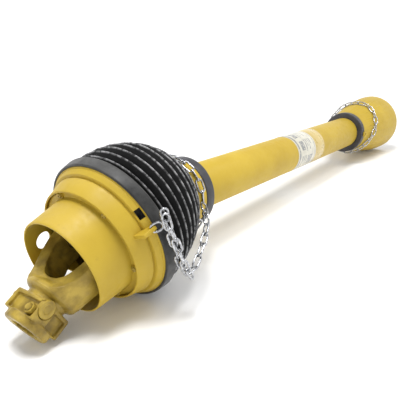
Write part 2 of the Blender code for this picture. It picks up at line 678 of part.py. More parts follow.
def bellows():
    """A folded rubber sleeve from the band to the neck. It is turned straight, then each ring is
    swung about the inner cross by its share of the bend."""
    wall = 0.0016
    first = BAND_END + 2 * GAP
    last = BELLOWS_END
    outer = [(first, BELLOWS_RADIUS - 0.001)]
    station = first + FOLD_PITCH / 2
    crest = False
    while station < NECK_START - FOLD_PITCH / 4:
        depth = 0 if crest else FOLD_DEPTH
        outer.append((station, bellows_radius(station) - depth))
        station += FOLD_PITCH / 2
        crest = not crest
    outer += [(NECK_START, NECK_RADIUS + GAP + wall), (last, NECK_RADIUS + GAP + wall)]
    inner = [(s, r - wall) for s, r in outer]
    inner[0] = (first, outer[0][1] - wall - 0.001)
    inner[-2:] = [(NECK_START, NECK_RADIUS + GAP), (last, NECK_RADIUS + GAP)]
    sleeve = turned("bellows", outer[::-1] + inner, shaft, "black rubber")
    bake_turning(sleeve)
    span = NECK_START - BAND_END
    for vertex in sleeve.data.vertices:
        share = min(1.0, max(0.0, (NECK_START - vertex.co.z) / span))
        share = share * share * (3 - 2 * share)
        vertex.co = Matrix.Rotation(-BEND * share, 3, "Y") @ vertex.co


def bake_turning(obj):
    """Apply the Screw modifier, so the turned mesh itself can be bent."""
    evaluated = obj.evaluated_get(bpy.context.evaluated_depsgraph_get())
    mesh = bpy.data.meshes.new_from_object(evaluated)
    obj.modifiers.clear()
    obj.data = mesh


# --------------------------------------------------------------------------- the tubes and guards
def drive_tubes():
    socket = FORK_DEPTH + 0.018
    outer = profile_tube("drive_tube_outer", socket, FAR_CROSS - BOSS_END - 0.006, OUTER_LOBE,
                         "yellow painted steel")
    inner = profile_tube("drive_tube_inner", INNER_TUBE_START, FAR_CROSS - socket, INNER_LOBE, "bare steel")
    for tube_piece, base, side in ((outer, shaft, 1), (inner, far, -1)):
        cut(tube_piece, rod(tube_piece.name + "_pin_hole", -0.04, 0.04, ROLL_PIN_RADIUS + GAP,
                            base, at=(side * ROLL_PIN_STATION, 0, 0), axis="+Z", steps=SMALL_ROUND))


def near_guard():
    tube_bore = GUARD_RADIUS + GAP
    web = NECK_END - SHELL
    seat = COLLAR_RADIUS - SHELL
    neck = [(NECK_END, seat - GAP), (COLLAR_START, seat - GAP), (COLLAR_START, NECK_RADIUS),
            (NECK_START, NECK_RADIUS), (NECK_START, NECK_RADIUS - SHELL),
            (web, seat - GAP - SHELL), (web, tube_bore), (NECK_END, tube_bore)]
    turned("base_cone_near", neck, shaft, "yellow guard plastic")
    front = COLLAR_START + GAP
    back = NECK_END + GAP
    collar = [(COLLAR_END, COLLAR_RADIUS - 0.0012), (COLLAR_END - 0.0012, COLLAR_RADIUS),
              (front + 0.0012, COLLAR_RADIUS), (front, COLLAR_RADIUS - 0.0012), (front, seat),
              (back, seat), (back, tube_bore), (COLLAR_END, tube_bore)]
    turned("collar_near", collar, shaft, "black nylon")
    start = GROOVE_START + 2 * GAP
    width = GROOVE_WIDTH - 4 * GAP
    tube("bearing_near", start, start + width, running_bore(BOSS_RADIUS - GROOVE_DEPTH),
         neck_bore(start + width) - GAP, shaft, "black nylon")
    tube("guard_tube_outer", BOSS_END + 0.003, FAR_COLLAR - GAP, GUARD_RADIUS - GUARD_WALL,
         GUARD_RADIUS, shaft, "yellow guard plastic")
    tube("label", LABEL_START, LABEL_START + LABEL_LENGTH, GUARD_RADIUS + GAP,
         GUARD_RADIUS + 2 * GAP, shaft, "white film")


def neck_bore(station):
    """Inside radius of the near neck, which narrows towards its web."""
    share = (station - NECK_START) / (NECK_END - SHELL - NECK_START)
    end = COLLAR_RADIUS - 2 * SHELL - GAP
    return NECK_RADIUS - SHELL + share * (end - NECK_RADIUS + SHELL)


def bell_radius(station):
    share = min(1.0, max(0.0, (station - BELL_START) / (BELL_RIM - BELL_START)))
    return BELL_NECK + (BELL_RADIUS - BELL_NECK) * sin(pi / 2 * share)


def far_guard():
    slide_radius = GUARD_RADIUS - GUARD_WALL - GUARD_SLIDE_GAP
    bore = slide_radius + GAP
    tube("guard_tube_inner", INNER_GUARD_START, FAR_COLLAR + FAR_COLLAR_LENGTH,
         slide_radius - 0.0022, slide_radius, shaft, "yellow guard plastic")
    neck = FAR_COLLAR + SHELL + 2 * GAP
    stations = [BELL_START + (BELL_RIM - BELL_START) * i / 6 for i in range(7)]
    outside = [(s, bell_radius(s)) for s in stations]
    inside = [(s, r - SHELL) for s, r in outside]
    bell = outside[::-1] + [(neck, BELL_NECK), (neck, bore), (neck + SHELL, bore),
                            (neck + SHELL, BELL_NECK - SHELL)] + inside
    turned("bell_far", bell, shaft, "yellow guard plastic")
    end = FAR_COLLAR + FAR_COLLAR_LENGTH
    radius = FAR_COLLAR_RADIUS
    collar = [(end, radius - 0.001), (end - 0.001, radius), (FAR_COLLAR + 0.001, radius),
              (FAR_COLLAR, radius - 0.001), (FAR_COLLAR, bore), (FAR_COLLAR + SHELL, bore),
              (FAR_COLLAR + SHELL, BELL_NECK + GAP), (end, BELL_NECK + GAP)]
    turned("collar_far", collar, shaft, "black nylon")
    start = FAR_CROSS - GROOVE_START - GROOVE_WIDTH + 2 * GAP
    width = GROOVE_WIDTH - 4 * GAP
    tube("bearing_far", start, start + width, running_bore(BOSS_RADIUS - GROOVE_DEPTH),
         bell_radius(start) - SHELL - 2 * GAP, shaft, "black nylon")
    clip = block("chain_clip_far", (end - 0.012, -radius - 0.0045, -0.0060),
                 (end - 0.001, -radius - GAP, 0.0060), shaft, "yellow guard plastic", 0.001)
    cut(clip, block("clip_slot", (end - 0.009, -radius - 0.006, -0.0035),
                    (end - 0.004, -radius + 0.001, 0.0035), shaft))


# -------------------------------------------------------------------------------------- far yoke
PUSH_PIN_STATION = 0.080
PUSH_PIN_HEIGHT = 0.0205
PUSH_PIN_RADIUS = 0.0045
PUSH_TRAVEL = 0.006


def far_yoke():
    """The far splined yoke: its ears stand across the shaft's own, and a sprung pin locks it."""
    flank = [(0.016, EAR_OUTER), (0.056, 0.032), (0.060, 0.031)]
    waist = [(0, EAR_RADIUS), (0.030, 0.022), (0.052, 0.026), (0.060, 0.029)]
    yoke = fork("far_yoke", far, flank, waist, PLAIN_THROAT, (pi / 2, 0, 0))
    hub = [(FAR_HUB_LENGTH, 0), (FAR_HUB_LENGTH, HUB_RADIUS - 0.002),
           (FAR_HUB_LENGTH - 0.002, HUB_RADIUS), (0.088, HUB_RADIUS), (0.0865, 0.0250),
           (0.066, 0.0250), (0.061, 0.0330), (FORK_DEPTH + 0.004, 0.0330),
           (FORK_DEPTH + 0.001, 0.030), (FORK_DEPTH + 0.001, 0)]
    join(yoke, turned("far_yoke_hub", hub, far, closed=False))
    join(yoke, block("far_yoke_boss", (0.0715, -0.022, 0.010), (0.0875, 0.022, 0.0275), far,
                     bevel=0.002))
    cut_cup_seats(yoke, "far_yoke", far, (0, 0, 0), "+Z")
    spline_bore(yoke, "far_yoke", far, FORK_DEPTH - 0.004, FAR_HUB_LENGTH + 0.002, 1)
    at = (PUSH_PIN_STATION, 0, PUSH_PIN_HEIGHT)
    cut(yoke, rod("push_pin_hole", -0.04, 0.04, PUSH_PIN_RADIUS + GAP, far, at=at, axis="+Y",
                  steps=SMALL_ROUND))
    head = 0.0315
    outline = [(head + 0.005, 0), (head + 0.005, 0.0058), (head + 0.004, 0.0068),
               (head, 0.0068), (head, PUSH_PIN_RADIUS), (-0.0215, PUSH_PIN_RADIUS),
               (-0.0225, PUSH_PIN_RADIUS - 0.001), (-0.0225, 0)]
    turned("push_pin", outline, far, "bare steel", at, "-Y", SMALL_ROUND, closed=False)
    push_pin_spring(at, head)


def push_pin_spring(at, head):
    """A short coil between the boss and the pin's head."""
    turns, steps = 3, 8
    wire_radius = 0.0005
    low = 0.022 + wire_radius + GAP
    high = head - wire_radius - GAP
    radius = PUSH_PIN_RADIUS + wire_radius + 2 * GAP
    points = []
    for i in range(turns * steps + 1):
        angle = 2 * pi * i / steps
        depth = low + (high - low) * i / (turns * steps)
        points.append((at[0] + radius * cos(angle), -depth, at[2] + radius * sin(angle)))
    wire("push_pin_spring", points, wire_radius, far, "bare steel")


# -------------------------------------------------------------------------------------- chains
CHAIN_RADIUS = 0.0035
CHAIN_CLEAR = 0.0016            # keeps the tube's straight chords off the round it is wound on
NEAR_CHAIN = [(-0.029, -0.115, -0.056), (-0.038, -0.115, -0.046), (-0.047, -0.115, -0.030),
              (-0.055, -0.1145, -0.011), (-0.061, -0.1125, 0.006), (-0.0665, -0.1095, 0.021),
              (-0.0645, -0.1030, 0.0335), (-0.0600, -0.1012, 0.020), (-0.056, -0.1040, 0.004),
              (-0.051, -0.1060, -0.012), (-0.045, -0.107, -0.030), (-0.036, -0.107, -0.046),
              (-0.026, -0.107, -0.054), (-0.012, -0.106, -0.050), (0.004, -0.102, -0.038),
              (0.022, -0.096, -0.025), (0.042, -0.084, -0.013), (0.058, -0.070, -0.007)]
NEAR_WRAP = (0.0715, 0.0030)    # where the wrap starts on the neck and how far it climbs


def near_chain():
    """The stored near chain: both its runs hang from the hook, and its end is wound round the
    neck. A plain tube of the links' size stands for it."""
    radius = NECK_RADIUS + CHAIN_RADIUS + CHAIN_CLEAR
    start, climb = NEAR_WRAP
    wrap = [around(start + climb * i / 20, radius, pi / 2 - 2 * pi * 0.93 * i / 20)
            for i in range(21)]
    path = smooth_path([*NEAR_CHAIN, *wrap], 4 * CHAIN_RADIUS)
    wire("chain_near", path, CHAIN_RADIUS, shaft, "zinc")


def far_chain():
    """The far chain, wound once round the bell's small end, high at the top."""
    points = []
    for i in range(17):
        angle = radians(4 + 352 * i / 16)
        station = BELL_START + 0.037 + 0.034 * cos(angle)
        points.append(around(station, bell_radius(station) + CHAIN_RADIUS + CHAIN_CLEAR, angle))
    wire("chain_far", smooth_path(points, 5 * CHAIN_RADIUS), CHAIN_RADIUS, shaft, "zinc")


# ----------------------------------------------------------------------------------- put together
def lay_on_ground():
    """Tip the shaft until it lies on its band and its far rim, then stand it over the origin."""
    rear = Vector((BAND_END, 0, -BAND_REAR_RADIUS))
    rear = Matrix.Rotation(-BEND, 3, "Y") @ rear
    reach = JOINT_SPAN * Vector((cos(BEND), 0, sin(BEND)))
    droop = Vector((cos(2 * BEND), 0, sin(2 * BEND)))
    hub = -reach - (NEAR_HUB_LENGTH - 0.002) * droop + HUB_RADIUS * Vector((droop.z, 0, -droop.x))
    slope = max((-BELL_RADIUS - low.z) / (BELL_RIM - low.x) for low in (rear, hub))
    shaft.rotation_euler = (0, atan(slope), 0)
    bpy.context.view_layer.update()
    depsgraph = bpy.context.evaluated_depsgraph_get()
    corners = []
    for obj in parts.objects:
        solid = obj.evaluated_get(depsgraph)
        corners += [solid.matrix_world @ v.co for v in solid.data.vertices]
    low = [min(c[i] for c in corners) for i in range(3)]
    high = [max(c[i] for c in corners) for i in range(3)]
    shaft.location = (-(low[0] + high[0]) / 2, -(low[1] + high[1]) / 2, -low[2])


near_yoke()
near_clamps()
centre_yoke()
inner_yoke("inner_yoke_near", shaft, (0, 0, 0), OUTER_LOBE, 1)
inner_yoke("inner_yoke_far", far, (0, 0, pi), INNER_LOBE, -1)
roll_pin("roll_pin_near", shaft, 1)
roll_pin("roll_pin_far", far, -1)
far_yoke()
MIDDLE = (0, 0, 0)
OUTER_MIDDLE = (-JOINT_SPAN, 0, 0)
cross("cross_outer", centre, OUTER_MIDDLE)
cross("cross_inner", centre, MIDDLE)
cross("cross_far", far, MIDDLE)
nipple("nipple_outer", centre, OUTER_MIDDLE, "-X")
nipple("nipple_inner", centre, MIDDLE, "+X")
nipple("nipple_far", far, MIDDLE, "+X")
CUPS = (("outer_left", near, MIDDLE, "+Y"), ("outer_right", near, MIDDLE, "-Y"),
        ("centre_front_top", centre, OUTER_MIDDLE, "+Z"),
        ("centre_front_low", centre, OUTER_MIDDLE, "-Z"),
        ("centre_rear_top", centre, MIDDLE, "+Z"), ("centre_rear_low", centre, MIDDLE, "-Z"),
        ("inner_left", shaft, MIDDLE, "+Y"), ("inner_right", shaft, MIDDLE, "-Y"),
        ("far_left", far, MIDDLE, "+Y"), ("far_right", far, MIDDLE, "-Y"),
        ("far_top", far, MIDDLE, "+Z"), ("far_low", far, MIDDLE, "-Z"))
for cup_name, cup_frame, cup_at, cup_axis in CUPS:
    bearing_cup("cup_" + cup_name, cup_frame, cup_at, cup_axis)
drive_tubes()
near_guard()
far_guard()
shield()
chain_hook()
bellows()
near_chain()
far_chain()
lay_on_ground()
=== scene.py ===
# %% [markdown]
# # A guarded drive shaft
# A drive shaft carries a tractor's turning power to a machine. What moves is steel: forged yokes,
# crosses and two tubes that slide in each other. What shows is mostly its guard: moulded yellow
# plastic, a black rubber bellows and two safety chains. The working model is loaded as a fixed
# frame of bodies, and most pieces made here ride on one of them.

# %% Load the frame
import json
from math import ceil, cos, pi, radians, sin
import bmesh
import bpy
from mathutils import Matrix, Vector


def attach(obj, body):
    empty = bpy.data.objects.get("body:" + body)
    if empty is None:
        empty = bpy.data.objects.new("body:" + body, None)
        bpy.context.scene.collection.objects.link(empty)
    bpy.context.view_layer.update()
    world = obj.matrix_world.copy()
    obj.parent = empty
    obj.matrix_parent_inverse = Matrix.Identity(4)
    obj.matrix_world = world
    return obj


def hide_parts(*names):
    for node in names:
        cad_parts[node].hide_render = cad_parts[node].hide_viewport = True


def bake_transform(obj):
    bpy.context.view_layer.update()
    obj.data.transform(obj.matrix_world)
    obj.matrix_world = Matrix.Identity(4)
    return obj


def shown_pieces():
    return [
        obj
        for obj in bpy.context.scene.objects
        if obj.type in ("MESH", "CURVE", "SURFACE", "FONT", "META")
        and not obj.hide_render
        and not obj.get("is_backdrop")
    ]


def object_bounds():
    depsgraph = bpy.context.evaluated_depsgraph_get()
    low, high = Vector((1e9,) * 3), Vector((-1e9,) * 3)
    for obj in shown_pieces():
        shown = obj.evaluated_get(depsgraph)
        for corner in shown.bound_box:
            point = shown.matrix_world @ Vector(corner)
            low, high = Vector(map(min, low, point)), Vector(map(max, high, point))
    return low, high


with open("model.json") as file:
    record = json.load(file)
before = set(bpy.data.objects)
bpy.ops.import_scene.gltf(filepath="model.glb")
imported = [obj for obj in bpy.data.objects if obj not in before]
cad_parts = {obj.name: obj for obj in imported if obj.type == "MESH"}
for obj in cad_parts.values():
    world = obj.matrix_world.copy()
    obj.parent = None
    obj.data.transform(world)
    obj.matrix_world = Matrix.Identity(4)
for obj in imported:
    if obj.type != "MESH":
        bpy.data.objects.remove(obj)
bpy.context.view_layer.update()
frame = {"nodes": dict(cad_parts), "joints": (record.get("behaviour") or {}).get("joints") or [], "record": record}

scene = bpy.context.scene

# %% [markdown]
# The shaft is stored bent, so its stretches don't share an axis. Each joint of the frame knows its
# place and its axis, and four coordinate systems built from them let every piece be made straight
# along its own X: the shaft, the middle of the wide-angle joint, the near yoke and the far yoke.


# %% Four coordinate systems from the joints
joints = {joint["name"]: joint for joint in frame["joints"]}


def system(origin, along):
    """A matrix with its X along the given axis, its Y level and its Z upright."""
    x = Vector(along).normalized()
    y = Vector((0, 0, 1)).cross(x).normalized()
    turn = Matrix((x, y, x.cross(y))).transposed().to_4x4()
    return Matrix.Translation(origin) @ turn


mounts = {mount["name"]: mount for mount in frame["record"]["mounts"]}
INNER_CROSS = Vector(joints["cv_pitch"]["pos_m"])
OUTER_CROSS = Vector(joints["cv_pitch_outer"]["pos_m"])
FAR_CROSS_AT = Vector(joints["far_pitch"]["pos_m"])
SHAFT = system(INNER_CROSS, joints["guard_spin"]["axis"])
CENTRE = system(INNER_CROSS, joints["shield_spin"]["axis"])
NEAR = system(OUTER_CROSS, -Vector(mounts["near_hub_end"]["axis"]))
FAR = system(FAR_CROSS_AT, mounts["far_hub_end"]["axis"])
BEND = SHAFT.col[0].xyz.angle(CENTRE.col[0].xyz)
JOINT_SPAN = (OUTER_CROSS - INNER_CROSS).length
FAR_CROSS = (FAR_CROSS_AT - INNER_CROSS).length
print(f"each half of the near joint is bent {BEND * 180 / pi:.1f} degrees")

# %% [markdown]
# Nearly every shape here is a skin over rings of points, so two helpers serve them all.


# %% Helpers for meshes
def skin(shape, rings, around=True, along=False):
    """Faces between neighbouring rings, closed around each ring and along them if asked."""
    neighbours = zip(rings, rings[1:] + rings[:1] if along else rings[1:])
    for first, second in neighbours:
        for j in range(len(first) if around else len(first) - 1):
            k = (j + 1) % len(first)
            shape.faces.new((first[j], first[k], second[k], second[j]))


def made(name, shape, outward=True):
    """The finished mesh of that shape, its faces turned outward."""
    if outward:
        bmesh.ops.recalc_face_normals(shape, faces=shape.faces)
    mesh = bpy.data.meshes.new(name)
    shape.to_mesh(mesh)
    shape.free()
    return mesh


# %% [markdown]
# The camera stands low in front of the near end and looks along the shaft, which makes the shield
# large and the far bell small. It is placed in the shaft's own system. A pale floor that curls up
# all round and glows a little far out, a bright sky and three soft lamps give an even light.

# %% Camera, floor and lights
eye = Vector((-0.450, -0.439, 0.211))
ahead = Vector((0.7645, 0.5683, -0.3042)).normalized()
right = ahead.cross(Vector((0, 0, 1))).normalized()
upright = right.cross(ahead)
lens = bpy.data.cameras.new("camera")
lens.lens = 43.56
lens.sensor_width = 36
lens.clip_start = 0.01
camera = bpy.data.objects.new("camera", lens)
scene.collection.objects.link(camera)
aim = Matrix((right, upright, -ahead)).transposed().to_4x4()
camera.matrix_world = SHAFT @ Matrix.Translation(eye) @ aim
scene.camera = camera

FLAT_RADIUS, RIM_RADIUS, RIM_HEIGHT = 3.0, 7.0, 3.6
CURL_STEPS, FLOOR_SIDES = 12, 96
sweep = bmesh.new()
rings = []
for k in range(CURL_STEPS + 2):
    curl = max(0, k - 1) / CURL_STEPS * pi / 2
    radius = FLAT_RADIUS * k if k < 2 else FLAT_RADIUS + (RIM_RADIUS - FLAT_RADIUS) * sin(curl)
    height = RIM_HEIGHT * (1 - cos(curl))
    turns = [2 * pi * i / FLOOR_SIDES for i in range(FLOOR_SIDES)]
    rings.append([sweep.verts.new((radius * cos(t), radius * sin(t), height)) for t in turns])
skin(sweep, rings[::-1])
bmesh.ops.remove_doubles(sweep, verts=sweep.verts, dist=1e-5)
floor_mesh = made("studio_floor", sweep, outward=False)
floor_mesh.shade_smooth()
floor = bpy.data.objects.new("studio_floor", floor_mesh)
scene.collection.objects.link(floor)
GLOW_START, GLOW_END, GLOW = 0.9, 2.6, 0.52
paper = bpy.data.materials.new("studio_paper")
paper.use_nodes = True
nodes, links = paper.node_tree.nodes, paper.node_tree.links
shader = nodes["Principled BSDF"]
shader.inputs["Base Color"].default_value = (0.93, 0.93, 0.93, 1)
shader.inputs["Roughness"].default_value = 0.9
shader.inputs["Specular IOR Level"].default_value = 0.1
shader.inputs["Emission Color"].default_value = (1, 1, 1, 1)
distance = nodes.new("ShaderNodeVectorMath")
distance.operation = "LENGTH"
glow = nodes.new("ShaderNodeMapRange")
for socket, value in (("From Min", GLOW_START), ("From Max", GLOW_END), ("To Max", GLOW)):
    glow.inputs[socket].default_value = value
links.new(nodes.new("ShaderNodeTexCoord").outputs["Object"], distance.inputs[0])
links.new(distance.outputs["Value"], glow.inputs["Value"])
links.new(glow.outputs["Result"], shader.inputs["Emission Strength"])
floor_mesh.materials.append(paper)
floor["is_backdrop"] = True


def lamp(name, place, size, power, target=(0, 0, 0.1)):
    """A square soft lamp turned towards the target."""
    light = bpy.data.lights.new(name, "AREA")
    light.size = size
    light.energy = power
    obj = bpy.data.objects.new(name, light)
    scene.collection.objects.link(obj)
    obj.location = place
    obj.rotation_euler = (Vector(target) - Vector(place)).to_track_quat("-Z", "Y").to_euler()


lamp("key_lamp", (-0.6, -0.1, 1.9), 0.6, 30, (-0.4, 0, 0.1))
lamp("side_lamp", (1.0, -1.0, 2.3), 1.0, 24)
lamp("back_lamp", (0.3, 2.0, 2.4), 1.2, 18)
scene.view_settings.view_transform = "Standard"
sky = bpy.data.worlds.new("studio_sky")
sky.use_nodes = True
sky.node_tree.nodes["Background"].inputs["Color"].default_value = (1.0, 1.0, 1.0, 1)
sky.node_tree.nodes["Background"].inputs["Strength"].default_value = 0.42
scene.world = sky
print("camera", [round(c, 3) for c in camera.matrix_world.translation])

# %% [markdown]
# ## Finishes
# Every finish is a Principled shader fed by a few procedural nodes. A noise drives each of them,
# read in the piece's own metres, so grain and blotches keep their real size on every piece. Small
# helpers add the nodes, which keeps each recipe short enough to read.


# %% Helpers for shader nodes
class Recipe:
    """One material being mixed: its nodes, its links and its shader."""

    def __init__(self, name, slot, metal=0.0, **sockets):
        self.material = bpy.data.materials.new(name)
        self.material.use_nodes = True
        self.nodes = self.material.node_tree.nodes
        self.links = self.material.node_tree.links
        self.shader = self.nodes["Principled BSDF"]
        self.shader.inputs["Metallic"].default_value = metal
        for socket, value in sockets.items():
            self.shader.inputs[socket.replace("_", " ")].default_value = value
        self.where = self.nodes.new("ShaderNodeTexCoord").outputs["Object"]
        self.slot = slot

    def noise(self, scale, detail=4.0, rough=0.55):
        node = self.nodes.new("ShaderNodeTexNoise")
        node.inputs["Scale"].default_value = scale
        node.inputs["Detail"].default_value = detail
        node.inputs["Roughness"].default_value = rough
        self.links.new(self.where, node.inputs["Vector"])
        return node.outputs["Fac"]

    def ramp(self, value, *stops):
        """Colour or grey stops: (position, colour) pairs."""
        node = self.nodes.new("ShaderNodeValToRGB")
        while len(node.color_ramp.elements) < len(stops):
            node.color_ramp.elements.new(1.0)
        for element, (position, colour) in zip(node.color_ramp.elements, stops):
            element.position = position
            element.color = (*colour, 1) if isinstance(colour, tuple) else (colour,) * 3 + (1,)
        self.links.new(value, node.inputs["Fac"])
        return node.outputs["Color"]

    def mix(self, factor, first, second):
        node = self.nodes.new("ShaderNodeMix")
        node.data_type = "RGBA"
        self.links.new(factor, node.inputs["Factor"])
        for socket, value in ((node.inputs[6], first), (node.inputs[7], second)):
            if isinstance(value, tuple):
                socket.default_value = (*value, 1)
            else:
                self.links.new(value, socket)
        return node.outputs[2]

    def math(self, operation, first, second):
        node = self.nodes.new("ShaderNodeMath")
        node.operation = operation
        for socket, value in zip(node.inputs, (first, second)):
            if isinstance(value, float):
                socket.default_value = value
            else:
                self.links.new(value, socket)
        return node.outputs[0]

    def bump(self, height, depth, strength):
        """Relief of that real depth in metres."""
        node = self.nodes.new("ShaderNodeBump")
        node.inputs["Strength"].default_value = strength
        node.inputs["Distance"].default_value = depth
        self.links.new(height, node.inputs["Height"])
        self.links.new(node.outputs["Normal"], self.shader.inputs["Normal"])

    def finish(self, colour, gloss, grain):
        """Feed the colour, a gloss (noise scale, smoothest, roughest) and a grain (noise scale,
        detail, depth, strength), and keep the recipe under its name."""
        self.links.new(colour, self.shader.inputs["Base Color"])
        if gloss:
            skin_noise = self.noise(gloss[0])
            shine = self.ramp(skin_noise, (0.3, gloss[1]), (0.7, gloss[2]))
            self.links.new(shine, self.shader.inputs["Roughness"])
        scale, detail, depth, strength = grain
        self.bump(self.noise(scale, detail), depth, strength)
        FINISHES[self.material.name] = self
        print("finish", self.material.name, "with", len(self.nodes), "nodes")


FINISHES = {}


# %% [markdown]
# The guard is polyethylene coloured right through. It is matt, a little mottled, and slightly
# darker and duller where hands and dust have been, so two close yellows are mixed by a slow noise
# and a fine noise roughens the skin.

# %% Yellow guard plastic
plastic = Recipe("guard_plastic", "yellow_guard_plastic", Specular_IOR_Level=0.28)
tone = plastic.ramp(plastic.noise(14.0, 5.0), (0.30, (0.420, 0.286, 0.024)),
                    (0.70, (0.490, 0.342, 0.034)))
grime = plastic.ramp(plastic.noise(55.0, 6.0, 0.7), (0.62, 0.0), (0.80, 0.35))
plastic.finish(plastic.mix(grime, tone, (0.270, 0.182, 0.032)), gloss=(120.0, 0.40, 0.56),
               grain=(900.0, 3.0, 0.00012, 0.35))

# %% [markdown]
# The yokes are drop-forged steel dipped in yellow paint. The forging's skin shows through as a
# coarse relief, a noise strews dark blotches of painted shade, and small chips bare the metal.

# %% Paint over forged steel
paint = Recipe("forging_paint", "yellow_painted_steel", Specular_IOR_Level=0.35)
# a slow noise mixes light yellow with a dark yellow that is painted shade, strewn at random
coat_with_painted_shade = paint.ramp(paint.noise(38.0, 6.0), (0.36, (0.185, 0.122, 0.016)),
                  (0.62, (0.440, 0.312, 0.048)))
chips = paint.ramp(paint.noise(160.0, 8.0, 0.75), (0.695, 0.0), (0.725, 1.0))
paint.finish(paint.mix(chips, coat_with_painted_shade, (0.10, 0.085, 0.06)), gloss=(90.0, 0.30, 0.52),
             grain=(260.0, 6.0, 0.0006, 0.35))

# %% [markdown]
# The bellows is black rubber. Its thin crests carry a pale painted highlight, broken by a noise:
# an attribute painted on the mesh, 1 on a crest and 0 in a valley, tells the shader where.

# %% Black rubber
rubber = Recipe("bellows_rubber", "black_rubber", Specular_IOR_Level=0.18)
crest = rubber.nodes.new("ShaderNodeAttribute")
crest.attribute_name = "crest"
dust = rubber.ramp(rubber.noise(42.0, 6.0, 0.65), (0.35, 0.004), (0.75, 0.009))
broken = rubber.ramp(rubber.noise(150.0, 5.0, 0.65), (0.40, 0.12), (0.60, 1.0))
# a pale painted highlight along each crest, broken up by a noise
thin = rubber.math("POWER", crest.outputs["Fac"], 1.5)
painted_crest_highlight = rubber.math("MULTIPLY", thin, broken)
rubber.finish(rubber.mix(painted_crest_highlight, dust, (0.62, 0.62, 0.63)), gloss=(70.0, 0.46, 0.66),
              grain=(700.0, 3.0, 0.0001, 0.4))

strap = Recipe("band_rubber", "black_rubber", Sheen_Weight=0.15, Specular_IOR_Level=0.30)
strap.finish(strap.ramp(strap.noise(30.0, 7.0, 0.7), (0.36, 0.008), (0.70, (0.048, 0.048, 0.046))),
             gloss=(80.0, 0.38, 0.58), grain=(520.0, 4.0, 0.0002, 0.4))

nylon = Recipe("black_nylon_moulding", "black_nylon")
nylon.finish(nylon.ramp(nylon.noise(45.0, 6.0), (0.3, (0.018, 0.018, 0.022)),
                        (0.7, (0.042, 0.041, 0.050))),
             gloss=(110.0, 0.36, 0.52), grain=(600.0, 3.0, 0.0001, 0.4))

# %% [markdown]
# Three bare metals: bright zinc on the chains, oiled machined steel on crosses, cups and pins, and
# the drawn inner tube under a film of grease.

# %% Zinc, oiled steel and greased tube
METALS = (
    ("zinc_plate", "zinc_plated_steel", (0.26, 0.265, 0.28), (0.62, 0.63, 0.65), 0.14, 0.36,
     300.0),
    ("oiled_steel", "bare_steel", (0.10, 0.085, 0.06), (0.30, 0.27, 0.22), 0.28, 0.50, 220.0),
    ("greased_tube", "bare_steel_tube", (0.17, 0.16, 0.14), (0.36, 0.35, 0.33), 0.22, 0.45, 90.0),
)
for name, slot, dark, light, smooth, rough, scale in METALS:
    metal = Recipe(name, slot, metal=1.0)
    metal.finish(metal.ramp(metal.noise(scale, 5.0), (0.3, dark), (0.7, light)),
                 gloss=(scale * 1.7, smooth, rough), grain=(scale * 4, 3.0, 0.00008, 0.3))

# %% [markdown]
# ## Making pieces
# Most of a shaft is turned or moulded round, so one function turns an outline about X. Real edges
# are never sharp: before turning, each corner of the outline is eased with a short curve, and
# those curves catch the light. All pieces are linked, given their finish and tied to their body,
# if they have one, in one place.


# %% Helpers for pieces
def tie(name, mesh, space, body, finish, nodes=(), crease=40):
    """Put a mesh in the scene in its coordinate system, on its body, standing for CAD nodes."""
    recipe = FINISHES[finish]
    mesh.materials.clear()
    mesh.materials.append(recipe.material)
    mesh.shade_smooth()
    mesh.set_sharp_from_angle(angle=radians(crease))
    obj = bpy.data.objects.new(name, mesh)
    scene.collection.objects.link(obj)
    obj.matrix_world = space
    if body:
        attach(obj, body)
    if nodes:
        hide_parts(*nodes)
    return obj


def eased(outline, radius, closed=True):
    """The outline with each corner replaced by a short curve of about that radius."""
    count = len(outline)
    result = []
    for i, (x, y) in enumerate(outline):
        if not closed and i in (0, count - 1):
            result.append((x, y))
            continue
        corner = Vector((x, y))
        before = Vector(outline[i - 1]) - corner
        after = Vector(outline[(i + 1) % count]) - corner
        if before.length < 1e-7 or after.length < 1e-7:
            continue
        if before.angle(after) > radians(172):
            result.append((x, y))
            continue
        start = corner + before.normalized() * min(radius, before.length * 0.45)
        end = corner + after.normalized() * min(radius, after.length * 0.45)
        for t in (0, 1 / 3, 2 / 3, 1):
            spot = (1 - t) ** 2 * start + 2 * t * (1 - t) * corner + t * t * end
            result.append((spot.x, spot.y))
    return result


def turned_mesh(name, outline, steps=128, ease=0.0006, closed=True, shape=None):
    """Turn (station, radius) points about X. shape may move a point by its angle."""
    points = eased(outline, ease, closed) if ease else outline
    shell = bmesh.new()
    rings = []
    for i in range(steps):
        angle = 2 * pi * i / steps
        ring = []
        for station, radius in points:
            if shape:
                station, radius = shape(station, radius, angle)
            spot = (station, -radius * sin(angle), radius * cos(angle))
            ring.append(shell.verts.new(spot))
        rings.append(ring)
    skin(shell, rings, around=closed, along=True)
    bmesh.ops.remove_doubles(shell, verts=shell.verts, dist=1e-6)
    return made(name, shell)


def facing(space, at, axis):
    """A system on the given point whose X looks along one of the six axes of space."""
    turns = {"+X": Matrix.Identity(4), "-X": Matrix.Rotation(pi, 4, "Z"),
             "+Y": Matrix.Rotation(pi / 2, 4, "Z"), "-Y": Matrix.Rotation(-pi / 2, 4, "Z"),
             "+Z": Matrix.Rotation(-pi / 2, 4, "Y"), "-Z": Matrix.Rotation(pi / 2, 4, "Y")}
    return space @ Matrix.Translation(at) @ turns[axis]


def around(station, radius, angle):
    """A point round X, its angle counted from +Z towards -Y."""
    return Vector((station, -radius * sin(angle), radius * cos(angle)))


def box_mesh(name, low, high, bevel=0.0):
    """A block between two corners with rounded edges."""
    shape = bmesh.new()
    size = [b - a for a, b in zip(low, high)]
    middle = [(a + b) / 2 for a, b in zip(low, high)]
    bmesh.ops.create_cube(shape, size=1,
                          matrix=Matrix.Translation(middle) @ Matrix.Diagonal((*size, 1)))
    if bevel:
        bmesh.ops.bevel(shape, geom=shape.edges[:] + shape.verts[:], offset=bevel, segments=3,
                        affect="EDGES", profile=0.5)
    return made(name, shape)


